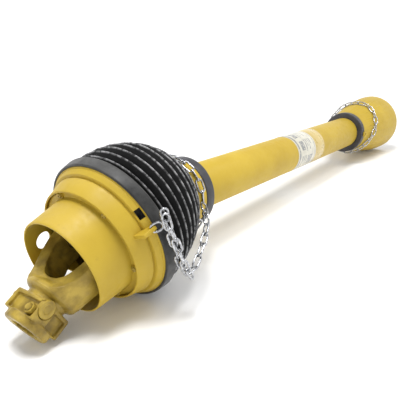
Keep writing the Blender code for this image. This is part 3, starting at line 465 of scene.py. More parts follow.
def applied(obj):
    """Bake the object's modifiers into its mesh."""
    evaluated = obj.evaluated_get(bpy.context.evaluated_depsgraph_get())
    mesh = bpy.data.meshes.new_from_object(evaluated)
    obj.modifiers.clear()
    obj.data = mesh


def shaped(mesh, joins=(), cuts=()):
    """The mesh after exact joins and cuts with other meshes, each a (mesh, matrix) pair."""
    base = bpy.data.objects.new("blank", mesh)
    scene.collection.objects.link(base)
    tools = []
    for operation, group in (("UNION", joins), ("DIFFERENCE", cuts)):
        for tool_mesh, matrix in group:
            tool = bpy.data.objects.new("tool", tool_mesh)
            scene.collection.objects.link(tool)
            tool.matrix_world = matrix
            step = base.modifiers.new("step", "BOOLEAN")
            step.operation = operation
            step.object = tool
            step.solver = "EXACT"
            tools.append(tool)
    bpy.context.view_layer.update()
    applied(base)
    result = base.data
    for obj in (base, *tools):
        bpy.data.objects.remove(obj, do_unlink=True)
    return result


# %% [markdown]
# ## Shield
# The shield is two mouldings. The front barrel opens towards the tractor and has two round holes
# for the grease gun. The rear ring is stepped: a bright face, a deep channel where six screws
# hold the two together, a shoulder, and a lip behind which the rubber band sits.

# %% Shield sizes
SHELL = 0.0025
GAP = 0.0003
MOUTH, MOUTH_RADIUS = -0.1386, 0.0638
BARREL_END, BARREL_RADIUS = -0.0890, 0.0680
RING_START, RING_RADIUS = -0.0931, 0.0787
RING_SHOULDER, SHOULDER_RADIUS = -0.0716, 0.0855
LIP_START, LIP_RADIUS = -0.0690, 0.0926
SEAT_START, SEAT_RADIUS, SEAT_END = -0.0615, 0.0945, -0.0470
BAND_END, BAND_FRONT_RADIUS, BAND_REAR_RADIUS = -0.0455, 0.0981, 0.1003
GREASE_STATION, GREASE_RADIUS = -0.1120, 0.0115
GREASE_HOLES = (radians(221), radians(275))
SCREWS, FIRST_SCREW, SCREW_CIRCLE = 6, radians(-20), 0.0727
LUG_ANGLE = radians(70)
LUG_HOLE = (-0.0675, 0.0968)
FLANGE_BACK = BARREL_END + SHELL


def ring_radius(station):
    """Outside of the rear ring between its front edge and its shoulder."""
    share = (station - RING_START) / (RING_SHOULDER - RING_START)
    return RING_RADIUS + share * (SHOULDER_RADIUS - RING_RADIUS)


# %% Front barrel
flange = ring_radius(RING_START) - SHELL - 2 * GAP
barrel = [(FLANGE_BACK, flange), (BARREL_END, flange), (BARREL_END, BARREL_RADIUS),
          (MOUTH + 0.003, MOUTH_RADIUS + 0.0003), (MOUTH, MOUTH_RADIUS - 0.0004),
          (MOUTH, MOUTH_RADIUS - SHELL), (FLANGE_BACK, BARREL_RADIUS - SHELL)]
grease_tool = turned_mesh("grease_tool", [(0.08, 0), (0.08, GREASE_RADIUS),
                                          (0.05, GREASE_RADIUS), (0.05, 0)], 40, 0, False)
holes = [(grease_tool, Matrix.Translation((GREASE_STATION, 0, 0))
          @ Matrix.Rotation(angle, 4, "X") @ Matrix.Rotation(-pi / 2, 4, "Y"))
         for angle in GREASE_HOLES]
boss_top = BARREL_END - 0.0022
boss = turned_mesh("boss", [(FLANGE_BACK - 0.0005, 0), (FLANGE_BACK - 0.0005, 0.0042),
                            (boss_top + 0.0006, 0.0041), (boss_top, 0.0036), (boss_top, 0)],
                   24, 0, False)
screw_spots = [around(0, SCREW_CIRCLE, FIRST_SCREW + 2 * pi * i / SCREWS) for i in range(SCREWS)]
inwards = [-0.0006 * Vector((0, spot.y, spot.z)).normalized() for spot in screw_spots]
bosses = [(boss, Matrix.Translation(spot + shift)) for spot, shift in zip(screw_spots, inwards)]
front = shaped(turned_mesh("shield_barrel", barrel), joins=bosses, cuts=holes)
tie("shield_barrel", front, CENTRE, "shield", "guard_plastic", ["shield_front"])
print("barrel opens", round(2000 * (MOUTH_RADIUS - SHELL)), "mm wide")

# %% Rear ring with its lug and slot
inner_flange = FLANGE_BACK + GAP
back = inner_flange + SHELL
ring = [(SEAT_END, SEAT_RADIUS), (SEAT_START, SEAT_RADIUS), (SEAT_START, LIP_RADIUS),
        (SEAT_START - 0.001, LIP_RADIUS), (LIP_START, LIP_RADIUS - 0.0036),
        (LIP_START, SHOULDER_RADIUS - 0.002), (RING_SHOULDER, SHOULDER_RADIUS - 0.002),
        (RING_SHOULDER, SHOULDER_RADIUS), (RING_START, RING_RADIUS),
        (RING_START, RING_RADIUS - SHELL), (inner_flange, ring_radius(inner_flange) - SHELL),
        (inner_flange, 0.070), (back, 0.070), (back, ring_radius(back) - SHELL),
        (LIP_START + SHELL, SHOULDER_RADIUS - 0.002 - SHELL),
        (LIP_START + SHELL, LIP_RADIUS - 0.0036 - 0.0015),
        (SEAT_START + 0.0005, SEAT_RADIUS - SHELL - 0.0002), (SEAT_END, SEAT_RADIUS - SHELL)]
lug = box_mesh("lug", (-0.0830, -0.0025, 0.0810), (-0.0622, 0.0025, 0.1015), 0.0011)
lug_turn = Matrix.Rotation(LUG_ANGLE, 4, "X")
lug_hole = turned_mesh("lug_hole", [(0.01, 0), (0.01, 0.0032), (-0.01, 0.0032), (-0.01, 0)],
                       28, 0, False)
hole_place = Matrix.Translation(around(*LUG_HOLE, LUG_ANGLE)) @ lug_turn \
    @ Matrix.Rotation(pi / 2, 4, "Z")
slot_tool = box_mesh("slot_tool", (-0.0712, -0.0065, 0.0860), (-0.0608, 0.0065, 0.1))
slot_place = Matrix.Rotation(LUG_ANGLE - radians(13), 4, "X")
rear = shaped(turned_mesh("shield_rear_ring", ring, ease=0.0011), joins=[(lug, lug_turn)],
              cuts=[(lug_hole, hole_place), (slot_tool, slot_place)])
tie("shield_rear_ring", rear, CENTRE, "shield", "guard_plastic", ["shield_ring"])

# %% Screws, bearing web and rubber band
head = boss_top - 0.0001
for i, spot in enumerate(screw_spots):
    tail = FLANGE_BACK + GAP + SHELL + 0.002
    screw = [(tail, 0), (tail, 0.0018), (head, 0.0018), (head, 0.0032), (head - 0.0014, 0.0032),
             (head - 0.0024, 0.0023), (head - 0.0024, 0.0013), (head - 0.0010, 0.0012),
             (head - 0.0010, 0)]
    mesh = turned_mesh("ring_screw", screw, 24, 0.0003, False)
    tie(f"ring_screw_{i + 1}", mesh, CENTRE @ Matrix.Translation(spot), "shield", "forging_paint",
        [f"shield_screw_{i + 1}"])

plate_mid = -JOINT_SPAN / 2
lip, rim, lip_bore = 0.0022, 0.0559, 0.0529
web_back = plate_mid + 0.0005
web_front = web_back - 0.0035
web_reach = SEAT_RADIUS - SHELL - 2 * GAP
web = [(plate_mid + 0.0055, rim + 0.004), (web_back, rim + 0.006), (web_back, web_reach),
       (web_front - 0.012, web_reach), (web_front - 0.012, web_reach - SHELL),
       (web_front, web_reach - SHELL), (web_front, rim + 0.006), (plate_mid - 0.0065, rim + 0.004),
       (plate_mid - 0.0065, rim), (plate_mid - lip, rim), (plate_mid - lip, lip_bore),
       (plate_mid + lip, lip_bore), (plate_mid + lip, rim), (plate_mid + 0.0055, rim)]
tie("bearing_web", turned_mesh("bearing_web", web), CENTRE, "shield", "black_nylon_moulding",
    ["shield_bearing"])
band = [(BAND_END, BAND_REAR_RADIUS - 0.001), (BAND_END - 0.001, BAND_REAR_RADIUS),
        (SEAT_START + 0.0013, BAND_FRONT_RADIUS), (SEAT_START + GAP, BAND_FRONT_RADIUS - 0.001),
        (SEAT_START + GAP, SEAT_RADIUS + GAP), (BAND_END, SEAT_RADIUS + GAP)]
tie("rubber_band", turned_mesh("rubber_band", band, ease=0.0009), CENTRE, "shield", "band_rubber",
    ["bellows_band"])
print("rear ring and band reach", round(2000 * BAND_REAR_RADIUS), "mm across")

# %% [markdown]
# ## Bellows
# A folded rubber sleeve closes the gap between the band and the guard's neck. It is turned
# straight, every ring is then swung about the inner cross by its share of the bend, and it is cut
# in two at a valley. Both parts are left where they are, tied to no body.

# %% Folded sleeve
NECK_RADIUS, NECK_START, SLEEVE_END = 0.0519, 0.060, 0.066
DRUM_RADIUS, TAPER, TAPER_POWER = 0.0985, 0.0400, 2.5
FOLDS = 9
FOLD_DEPTH = 0.0095
FOLD_WALL = 0.0014
SPLIT_FOLD = 3
fold_start = BAND_END + 2 * GAP
FOLD_PITCH = (NECK_START - fold_start) / FOLDS


def fold_crest(station):
    """Crest radius of the straight sleeve: a drum that curves down to the neck."""
    share = min(1.0, max(0.0, (station - BAND_END) / (NECK_START - BAND_END)))
    return DRUM_RADIUS - TAPER * share ** TAPER_POWER


def sleeve_part(first_fold, last_fold):
    """Outer points of those folds and how close each is to a crest."""
    points = []
    samples = 8
    for fold in range(first_fold, last_fold):
        for i in range(samples + (fold == last_fold - 1)):
            share = i / samples
            station = fold_start + (fold + share) * FOLD_PITCH
            rise = 1 - abs(2 * share - 1)
            depth = FOLD_DEPTH * (1 - rise)
            points.append((station, max(fold_crest(station) - depth, NECK_RADIUS + GAP + 0.0016),
                           1.0 if rise > 0.99 else 0.0))
    return points


def swing(point):
    """Bend the straight sleeve: each ring turns about the inner cross by its share."""
    share = min(1.0, max(0.0, (NECK_START - point.x) / (NECK_START - BAND_END)))
    share = share * share * (3 - 2 * share)
    return Matrix.Rotation(-BEND * share, 3, "Y") @ point


def bellows_piece(name, first_fold, last_fold):
    outer = sleeve_part(first_fold, last_fold)
    cuff = last_fold == FOLDS
    if cuff:
        outer.append((SLEEVE_END, NECK_RADIUS + GAP + 0.0016, 0.0))
    inner = [(s, r - FOLD_WALL, 0.0) for s, r, _ in outer]
    marks = outer[::-1] + inner
    mesh = turned_mesh(name, [(s, r) for s, r, _ in marks], 128, 0)
    crest_mark = mesh.attributes.new("crest", "FLOAT", "POINT")
    lookup = {(round(s, 6), round(r, 6)): mark for s, r, mark in marks}
    for vertex, item in zip(mesh.vertices, crest_mark.data):
        key = (round(vertex.co.x, 6), round(vertex.co.yz.length, 6))
        item.value = lookup.get(key, 0.0)
    for vertex in mesh.vertices:
        vertex.co = swing(vertex.co)
    return mesh


split = fold_start + SPLIT_FOLD * FOLD_PITCH
rear_sleeve = tie("bellows_rear", bellows_piece("bellows_rear", SPLIT_FOLD, FOLDS), SHAFT, None,
                  "bellows_rubber", ["bellows"], 60)
front_sleeve = tie("bellows_front", bellows_piece("bellows_front", 0, SPLIT_FOLD), SHAFT, None,
                   "bellows_rubber", ["bellows"], 60)
split_turn = swing(Vector((split, 0, 1))) - swing(Vector((split, 0, 0)))
split_centre = swing(Vector((split, 0, 0)))
split_along = Vector((0, 1, 0)).cross(split_turn).normalized()


def bend_with_joint(rear_part, front_part):
    """Bake each part's placement into its mesh; neither is tied to a body."""
    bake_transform(rear_part)
    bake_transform(front_part)


bend_with_joint(rear_sleeve, front_sleeve)
print(FOLDS, "folds, split", round(1000 * split), "mm from the cross")

# %% [markdown]
# ## Guard tubes, collars and bell
# Two plastic tubes slide in each other over the steel ones. The outer one ends in a neck with a
# black collar, the inner one carries the far collar and the bell, whose wall bulges and has low
# ribs along it that stiffen a thin moulding.

# %% Tubes, neck and collars
NECK_END, COLLAR_START, COLLAR_END, COLLAR_RADIUS = 0.102, 0.088, 0.106, 0.0532
GUARD_RADIUS, GUARD_WALL = 0.0365, 0.0025
FAR_COLLAR, FAR_COLLAR_LENGTH, FAR_COLLAR_RADIUS = 0.750, 0.018, 0.049
BELL_NECK, BELL_START, BELL_RIM, BELL_RADIUS = 0.0470, 0.771, 0.962, 0.0735


def straight(start, end, bore, radius):
    return [(end, radius), (start, radius), (start, bore), (end, bore)]


tube_bore = GUARD_RADIUS + GAP
web_station = NECK_END - SHELL
seat = COLLAR_RADIUS - SHELL
neck = [(NECK_END, seat - GAP), (COLLAR_START, seat - GAP), (COLLAR_START, NECK_RADIUS),
        (NECK_START, NECK_RADIUS), (NECK_START, NECK_RADIUS - SHELL),
        (web_station, seat - GAP - SHELL), (web_station, tube_bore), (NECK_END, tube_bore)]
collar_front, collar_back = COLLAR_START + GAP, NECK_END + GAP
collar = [(COLLAR_END, COLLAR_RADIUS - 0.0012), (COLLAR_END - 0.0012, COLLAR_RADIUS),
          (collar_front + 0.0012, COLLAR_RADIUS), (collar_front, COLLAR_RADIUS - 0.0012),
          (collar_front, seat), (collar_back, seat), (collar_back, tube_bore),
          (COLLAR_END, tube_bore)]
slide_radius = GUARD_RADIUS - GUARD_WALL - 0.0005
slide_bore = slide_radius + GAP
far_end = FAR_COLLAR + FAR_COLLAR_LENGTH
far_collar = [(far_end, FAR_COLLAR_RADIUS - 0.001), (far_end - 0.001, FAR_COLLAR_RADIUS),
              (FAR_COLLAR + 0.001, FAR_COLLAR_RADIUS), (FAR_COLLAR, FAR_COLLAR_RADIUS - 0.001),
              (FAR_COLLAR, slide_bore), (FAR_COLLAR + SHELL, slide_bore),
              (FAR_COLLAR + SHELL, BELL_NECK + GAP), (far_end, BELL_NECK + GAP)]
ROUNDS = (
    ("guard_neck", neck, "guard_near", "guard_plastic", "base_cone_near"),
    ("neck_collar", collar, "guard_near", "black_nylon_moulding", "collar_near"),
    ("outer_guard_tube", straight(0.097, FAR_COLLAR - GAP, GUARD_RADIUS - GUARD_WALL,
                                  GUARD_RADIUS), "guard_near", "guard_plastic",
     "guard_tube_outer"),
    ("inner_guard_tube", straight(0.130, far_end, slide_radius - 0.0022, slide_radius),
     "guard_far", "guard_plastic", "guard_tube_inner"),
    ("bell_collar", far_collar, "guard_far", "black_nylon_moulding", "collar_far"),
)
for name, outline, body, finish, node in ROUNDS:
    tie(name, turned_mesh(name, outline, 112, 0.0008), SHAFT, body, finish, [node])
print("guard tubes", round(2000 * GUARD_RADIUS), "and", round(2000 * slide_radius), "mm across")

# %% Ribbed bell
RIBS = 20
RIB_HEIGHT = 0.0007
RIB_HALF = radians(2.2)


def bell_radius(station):
    share = min(1.0, max(0.0, (station - BELL_START) / (BELL_RIM - BELL_START)))
    return BELL_NECK + (BELL_RADIUS - BELL_NECK) * sin(pi / 2 * share)


def ribbed(station, radius, angle):
    """Raise low ribs on the bell's outside, fading towards the neck and the rim."""
    share = (station - BELL_START) / (BELL_RIM - BELL_START)
    if radius < bell_radius(station) - 0.0004 or not 0.04 < share < 0.96:
        return station, radius
    step = 2 * pi / RIBS
    off = abs((angle + step / 2) % step - step / 2) / RIB_HALF
    fade = min(1.0, (share - 0.04) / 0.08, (0.96 - share) / 0.08)
    return station, radius + RIB_HEIGHT * fade * max(0.0, 1 - off)


bell_neck = FAR_COLLAR + SHELL + 2 * GAP
bell_stations = [BELL_START + (BELL_RIM - BELL_START) * i / 24 for i in range(25)]
bell_outside = [(s, bell_radius(s)) for s in bell_stations]
bell_inside = [(s, r - SHELL) for s, r in bell_outside]
bell = bell_outside[::-1] + [(bell_neck, BELL_NECK), (bell_neck, slide_bore),
                             (bell_neck + SHELL, slide_bore),
                             (bell_neck + SHELL, BELL_NECK - SHELL)] + bell_inside
tie("ribbed_bell", turned_mesh("ribbed_bell", bell, 320, 0.0008, shape=ribbed), SHAFT,
    "guard_far", "guard_plastic", ["bell_far"], 50)
print("bell opens", round(2000 * (BELL_RADIUS - SHELL)), "mm wide")

# %% [markdown]
# ## Label and film
# A white printed label is wound round the tube, with a clear film over it that keeps on shining
# past the print. The print is made of plain bars and boxes, since a label's look comes from its
# rhythm of dark and light. The bars are drawn by comparing each point's place with their edges.

# %% Label print and film
LABEL_START, LABEL_END, FILM_END = 0.420, 0.500, 0.545
tag = Recipe("label_print", "label_film", Roughness=0.32, Coat_Weight=0.4)
axes = tag.nodes.new("ShaderNodeSeparateXYZ")
tag.links.new(tag.where, axes.inputs[0])
turn_at = tag.math("ARCTAN2", axes.outputs[1], axes.outputs[2])
BARS = [(0.424, 0.430, -3.2, 3.2), (0.494, 0.4965, -3.2, 3.2), (0.437, 0.453, 0.75, 1.30),
        (0.458, 0.462, 0.70, 1.40), (0.466, 0.469, 0.70, 1.15), (0.473, 0.476, 0.70, 1.35),
        (0.480, 0.483, 0.70, 1.05), (0.437, 0.441, 1.60, 2.35), (0.446, 0.449, 1.60, 2.10),
        (0.454, 0.457, 1.60, 2.30), (0.463, 0.484, 1.65, 2.20), (0.437, 0.452, 0.0, 0.50),
        (0.458, 0.461, -0.1, 0.55), (0.467, 0.470, -0.1, 0.40), (0.476, 0.479, -0.1, 0.52)]


def between(value, low, high):
    """1 where the value lies between those two, else 0."""
    above = tag.math("GREATER_THAN", value, float(low))
    return tag.math("MULTIPLY", above, tag.math("LESS_THAN", value, float(high)))


printed = None
for low, high, first, last in BARS:
    bar = tag.math("MULTIPLY", between(axes.outputs[0], low, high),
                   between(turn_at, -last, -first))
    printed = tag.math("MAXIMUM", printed, bar) if printed else bar
paper = tag.ramp(tag.noise(60.0, 6.0, 0.7), (0.35, (0.47, 0.45, 0.37)),
                 (0.65, (0.62, 0.60, 0.50)))
worn = tag.ramp(tag.noise(260.0, 4.0), (0.38, 0.25), (0.52, 0.80))
ink = tag.math("MULTIPLY", printed, worn)
tag.finish(tag.mix(ink, paper, (0.10, 0.11, 0.14)), gloss=None,
           grain=(240.0, 4.0, 0.0001, 0.3))
film = Recipe("clear_film", "yellow_guard_plastic", Coat_Weight=0.35, Coat_Roughness=0.16)
film.finish(film.ramp(film.noise(16.0, 5.0), (0.3, (0.440, 0.320, 0.085)),
                      (0.7, (0.540, 0.410, 0.130))),
            gloss=(60.0, 0.22, 0.40), grain=(45.0, 2.0, 0.0008, 0.25))
paper_ring = straight(LABEL_START, LABEL_END, GUARD_RADIUS + 0.0001, GUARD_RADIUS + 0.0005)
film_ring = straight(LABEL_END, FILM_END, GUARD_RADIUS + 0.0001, GUARD_RADIUS + 0.0004)
tie("printed_label", turned_mesh("printed_label", paper_ring, 112, 0.0001), SHAFT, "guard_near",
    "label_print", ["label"])
tie("film_tail", turned_mesh("film_tail", film_ring, 112, 0.0001), SHAFT, "guard_near",
    "clear_film")
print(len(BARS), "bars printed")

# %% [markdown]
# ## Forgings
# A forging has no sharp inner corner anywhere: metal was squeezed to fill a die. The working
# model's yokes have the right sizes with hard edges, so each is copied, rebuilt as an even skin of
# small cells and relaxed a little, which rounds every edge and blends every joint like a die does.


# %% Yokes and crosses as forgings
def forged_mesh(name, mesh, cell, passes):
    """The mesh rebuilt in cells of that size and smoothed that many times."""
    blank = bpy.data.objects.new(name + "_blank", mesh)
    scene.collection.objects.link(blank)
    skin = blank.modifiers.new("skin", "REMESH")
    skin.mode = "VOXEL"
    skin.voxel_size = cell
    relax = blank.modifiers.new("relax", "SMOOTH")
    relax.iterations = passes
    applied(blank)
    result = blank.data
    bpy.data.objects.remove(blank, do_unlink=True)
    return result


YOKES = (("near_yoke_forging", "outer_yoke", "outer_yoke", 0.00075),
         ("centre_yoke_forging", "centre_yoke", "centre_yoke", 0.0010),
         ("inner_yoke_forging", "inner_yoke_near", "drive_near", 0.0012),
         ("tube_yoke_forging", "inner_yoke_far", "drive_far", 0.0012),
         ("far_yoke_forging", "far_yoke", "far_yoke", 0.0010))
for name, node, body, cell in YOKES:
    copy = frame["nodes"][node].data.copy()
    forged = forged_mesh(name, copy, cell, 4)
    tie(name, forged, Matrix.Identity(4), body, "forging_paint", [node], 180)
    print(name, len(forged.polygons), "faces")

# %% Crosses, nipples, cups and pins
TRUNNION_RADIUS, CROSS_BODY, CUP_RADIUS = 0.010, 0.0155, 0.015
EAR_OUTER, CUP_SUNK, CUP_FLOOR, CUP_MOUTH = 0.049, 0.0027, 0.003, 0.028
cup_top = EAR_OUTER - CUP_SUNK
tip = cup_top - CUP_FLOOR - GAP


def cross_mesh(name):
    """Two double-ended arms through a small body, run together like a forging."""
    arm = [(tip, 0), (tip, TRUNNION_RADIUS), (0.0270, TRUNNION_RADIUS), (0.0262, 0.0135),
           (-0.0262, 0.0135), (-0.0270, TRUNNION_RADIUS), (-tip, TRUNNION_RADIUS), (-tip, 0)]
    shape = bmesh.new()
    half = CROSS_BODY - 0.0004
    shape.from_mesh(box_mesh("core", (-half,) * 3, (half,) * 3))
    for axis in ("+Y", "+Z"):
        mesh = turned_mesh("arm", arm, 48, 0.0005, False)
        mesh.transform(facing(Matrix.Identity(4), (0, 0, 0), axis))
        shape.from_mesh(mesh)
    return forged_mesh(name, made(name, shape), 0.0010, 3)


nipple_start = CROSS_BODY + GAP
nipple = [(nipple_start + 0.0080, 0), (nipple_start + 0.0080, 0.0020),
          (nipple_start + 0.0066, 0.0030), (nipple_start + 0.0052, 0.0029),
          (nipple_start + 0.0040, 0.0018), (nipple_start + 0.0030, 0.0018),
          (nipple_start + 0.0030, 0.0034), (nipple_start, 0.0034), (nipple_start, 0)]
cross_centre = {"inner": CENTRE, "outer": CENTRE @ Matrix.Translation((-JOINT_SPAN, 0, 0)),
                "far": FAR}
for which, side in (("inner", "+X"), ("outer", "-X"), ("far", "+X")):
    space = cross_centre[which]
    body = "cross_" + which
    tie(f"{which}_cross", cross_mesh(which), space, body, "oiled_steel", ["cross_" + which])
    tie(f"{which}_grease_nipple", turned_mesh("grease_nipple", nipple, 28, 0.0003, False),
        facing(space, (0, 0, 0), side), body, "oiled_steel", ["nipple_" + which])

cup_bore = TRUNNION_RADIUS + GAP
cup = [(cup_top, 0), (cup_top, 0.0060), (cup_top - 0.0006, 0.0068), (cup_top - 0.0006, 0.0118),
       (cup_top, 0.0126), (cup_top, CUP_RADIUS), (CUP_MOUTH, CUP_RADIUS), (CUP_MOUTH, cup_bore),
       (cup_top - CUP_FLOOR, cup_bore), (cup_top - CUP_FLOOR, 0)]
clip_ring = straight(cup_top + 0.0002, cup_top + 0.0014, CUP_RADIUS - 0.0028, CUP_RADIUS - 0.0002)
CUPS = (("outer_left", NEAR, "+Y", "outer_yoke"), ("outer_right", NEAR, "-Y", "outer_yoke"),
        ("centre_front_top", cross_centre["outer"], "+Z", "centre_yoke"),
        ("centre_front_low", cross_centre["outer"], "-Z", "centre_yoke"),
        ("centre_rear_top", CENTRE, "+Z", "centre_yoke"),
        ("centre_rear_low", CENTRE, "-Z", "centre_yoke"),
        ("inner_left", SHAFT, "+Y", "drive_near"), ("inner_right", SHAFT, "-Y", "drive_near"),
        ("far_left", FAR, "+Y", "drive_far"), ("far_right", FAR, "-Y", "drive_far"),
        ("far_top", FAR, "+Z", "far_yoke"), ("far_low", FAR, "-Z", "far_yoke"))
for name, space, axis, body in CUPS:
    place = facing(space, (0, 0, 0), axis)
    tie("bearing_" + name, turned_mesh("bearing", cup, 48, 0.0004, False), place, body,
        "oiled_steel", ["cup_" + name])
    tie("snap_ring_" + name, turned_mesh("snap_ring", clip_ring, 48, 0.0003), place, body,
        "oiled_steel")
print(len(CUPS), "bearing cups with snap rings")

# %% [markdown]
# ## Hub pins
# Two clamping pins hold the near hub on the tractor's splines. One shows a hexagon nut and the end
# of its thread in the top pocket, the other a big flat disc of a head on the side. The thread is
# a row of fine turned rings, because at this size its slope can't be seen.

# %% Clamping pins and nuts
HUB_BLOCK, POCKET_FLOOR, PIN_RADIUS = 0.0255, 0.0205, 0.0040
HEAD_RADIUS, TOP_HEAD_RADIUS = 0.0110, 0.0075
TOP_PIN, SIDE_PIN, TOP_PIN_OFFSET, SIDE_PIN_OFFSET = 0.1095, 0.1010, 0.0125, 0.0145
NUT_RADIUS = 0.0070
THREAD_PITCH = 0.0012


def pin_outline(head_radius, head_bottom, head_top, tip, dish):
    """From the head's middle to the threaded tip."""
    points = [(head_top - dish, 0), (head_top - dish, head_radius * 0.45),
              (head_top, head_radius * 0.55), (head_top, head_radius - 0.0008),
              (head_top - 0.0008, head_radius), (head_bottom, head_radius),
              (head_bottom, PIN_RADIUS)]
    station = tip + 0.010
    while station > tip + 0.0015:
        points += [(station, PIN_RADIUS), (station - THREAD_PITCH / 2, PIN_RADIUS - 0.0005)]
        station -= THREAD_PITCH
    return points + [(tip, PIN_RADIUS - 0.001), (tip, 0)]


def nut_mesh(name, height):
    """A hexagon with a bore, its corners turned off at both ends."""
    corner_cut, bore = 0.0007, PIN_RADIUS + 0.0005
    outline = [(0, NUT_RADIUS - corner_cut), (corner_cut, NUT_RADIUS),
               (height - corner_cut, NUT_RADIUS), (height, NUT_RADIUS - corner_cut),
               (height, bore), (0, bore)]

    def six_sided(station, radius, angle):
        off = (angle + pi / 2 + pi / 6) % (pi / 3) - pi / 6
        return station, min(NUT_RADIUS * cos(pi / 6) / cos(off), radius)

    return turned_mesh(name, outline, 48, 0, shape=six_sided)


top_at = (-TOP_PIN, -TOP_PIN_OFFSET, 0)
side_at = (-SIDE_PIN, 0, SIDE_PIN_OFFSET)
top_pin = pin_outline(TOP_HEAD_RADIUS, HUB_BLOCK + GAP, HUB_BLOCK + 0.0035, -0.0295, 0.0006)
side_pin = pin_outline(HEAD_RADIUS, POCKET_FLOOR + GAP, HUB_BLOCK + 0.0010, -0.0335, 0.0010)
PINS = (("top_clamp_pin", turned_mesh("top_pin", top_pin, 40, 0.0002, False), top_at, "-Z", 0,
         "clamp_pin_top"),
        ("side_clamp_pin", turned_mesh("side_pin", side_pin, 56, 0.0002, False), side_at, "-Y", 0,
         "clamp_pin_side"),
        ("top_clamp_nut", nut_mesh("top_nut", 0.006), top_at, "+Z", POCKET_FLOOR + GAP,
         "clamp_nut_top"),
        ("side_clamp_nut", nut_mesh("side_nut", 0.005), side_at, "+Y", HUB_BLOCK + GAP,
         "clamp_nut_side"))
for name, mesh, at, axis, lift, node in PINS:
    space = facing(NEAR, at, axis) @ Matrix.Translation((lift, 0, 0))
    tie(name, mesh, space, "outer_yoke", "forging_paint", [node], 30)

# %% Roll pins, guard bearings and the far end's push pin
BOSS_RADIUS, GROOVE_START, GROOVE_WIDTH = 0.034, 0.082, 0.006
ROLL_PIN_STATION, ROLL_PIN_BORE, ROLL_PIN_RADIUS = 0.0720, 0.0027, 0.0047
BEARING_BORE = 0.0316
roll = straight(-BOSS_RADIUS + 0.001, BOSS_RADIUS - 0.001, ROLL_PIN_BORE, ROLL_PIN_RADIUS)
for end, space, side, body in (("near", SHAFT, 1, "drive_near"), ("far", FAR, -1, "drive_far")):
    tie(f"roll_pin_{end}_end", turned_mesh("roll", roll, 32, 0.0004),
        facing(space, (side * ROLL_PIN_STATION, 0, 0), "+Z"), body, "oiled_steel",
        [f"roll_pin_{end}"])
neck_share = (GROOVE_START + GROOVE_WIDTH - NECK_START) / (web_station - NECK_START)
near_rim = NECK_RADIUS - SHELL - GAP \
    + neck_share * (COLLAR_RADIUS - 2 * SHELL - GAP - NECK_RADIUS + SHELL)
near_ring_at = GROOVE_START + 2 * GAP
far_ring_at = FAR_CROSS - GROOVE_START - GROOVE_WIDTH + 2 * GAP
far_rim = bell_radius(far_ring_at) - SHELL - 2 * GAP
for name, at, rim_radius, body, node in (
        ("near_guard_bearing", near_ring_at, near_rim, "guard_near", "bearing_near"),
        ("far_guard_bearing", far_ring_at, far_rim, "guard_far", "bearing_far")):
    outline = straight(at, at + GROOVE_WIDTH - 4 * GAP, BEARING_BORE, rim_radius)
    tie(name, turned_mesh(name, outline, 96, 0.0005), SHAFT, body, "black_nylon_moulding", [node])

PUSH_STATION, PUSH_HEIGHT, PUSH_RADIUS, PUSH_HEAD = 0.080, 0.0205, 0.0045, 0.0315
push = [(PUSH_HEAD + 0.005, 0), (PUSH_HEAD + 0.005, 0.0058), (PUSH_HEAD + 0.004, 0.0068),
        (PUSH_HEAD, 0.0068), (PUSH_HEAD, PUSH_RADIUS), (-0.0215, PUSH_RADIUS),
        (-0.0225, PUSH_RADIUS - 0.001), (-0.0225, 0)]
push_place = facing(FAR, (PUSH_STATION, 0, PUSH_HEIGHT), "-Y")
tie("lock_push_pin", turned_mesh("push", push, 48, 0.0005, False), push_place, "push_pin",
    "oiled_steel", ["push_pin"])

# %% The push pin's spring
SPRING_TURNS, SPRING_WIRE = 3, 0.0005
SPRING_SEAT = 0.022
spring_low, spring_high = SPRING_SEAT + SPRING_WIRE + GAP, PUSH_HEAD - SPRING_WIRE - GAP
spring_radius = PUSH_RADIUS + SPRING_WIRE + 2 * GAP


def wire_ring(shape, middle, out, side, radius, count):
    """A ring of vertices round a wire's middle, in the plane of out and side."""
    turns = [2 * pi * m / count for m in range(count)]
    return [shape.verts.new(middle + radius * (out * cos(t) + side * sin(t))) for t in turns]


def coil_mesh(name):
    """The spring's wire wound about X, closed at both ends."""
    shape = bmesh.new()
    steps = 32 * SPRING_TURNS
    rings = []
    for i in range(steps + 1):
        angle = 2 * pi * SPRING_TURNS * i / steps
        station = spring_low + (spring_high - spring_low) * i / steps
        out = around(0, 1, angle)
        rings.append(wire_ring(shape, around(station, spring_radius, angle), out,
                               Vector((1, 0, 0)), SPRING_WIRE, 10))
    skin(shape, rings)
    for end in (rings[0], rings[-1]):
        shape.faces.new(end)
    return made(name, shape)


spring = tie("push_spring", coil_mesh("push_spring"), push_place, None, "oiled_steel",
             ["push_pin_spring"], 60)
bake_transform(spring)

# %% [markdown]
# ## Chains
# Two short chains are hooked to the machine in use, so that the guard can't turn with the shaft.
# Stored, the near one hangs double from the shield's lug and its end is wound round the neck, and
# the far one lies round the bell. Each link is an oval of wire, and it is set a quarter turn from
# its neighbours so that they really interlock.

# %% One link and a run of links
LINK_LENGTH, LINK_WIDTH, LINK_WIRE = 0.0220, 0.0112, 0.0014
LINK_PITCH = LINK_LENGTH - 4 * LINK_WIRE


def add_link(shape, middle, along, across):
    """An oval of wire in the plane of along and across."""
    out = along.cross(across)
    bow = LINK_WIDTH / 2 - LINK_WIRE
    straight_half = LINK_LENGTH / 2 - LINK_WIDTH / 2
    rings = []
    for centre_shift, first in ((straight_half, -90), (-straight_half, 90)):
        for k in range(8):
            angle = radians(first + 180 * k / 7)
            away = along * cos(angle) + across * sin(angle)
            spot = middle + along * centre_shift + away * bow
            rings.append(wire_ring(shape, spot, away, out, LINK_WIRE, 8))
    skin(shape, rings, along=True)


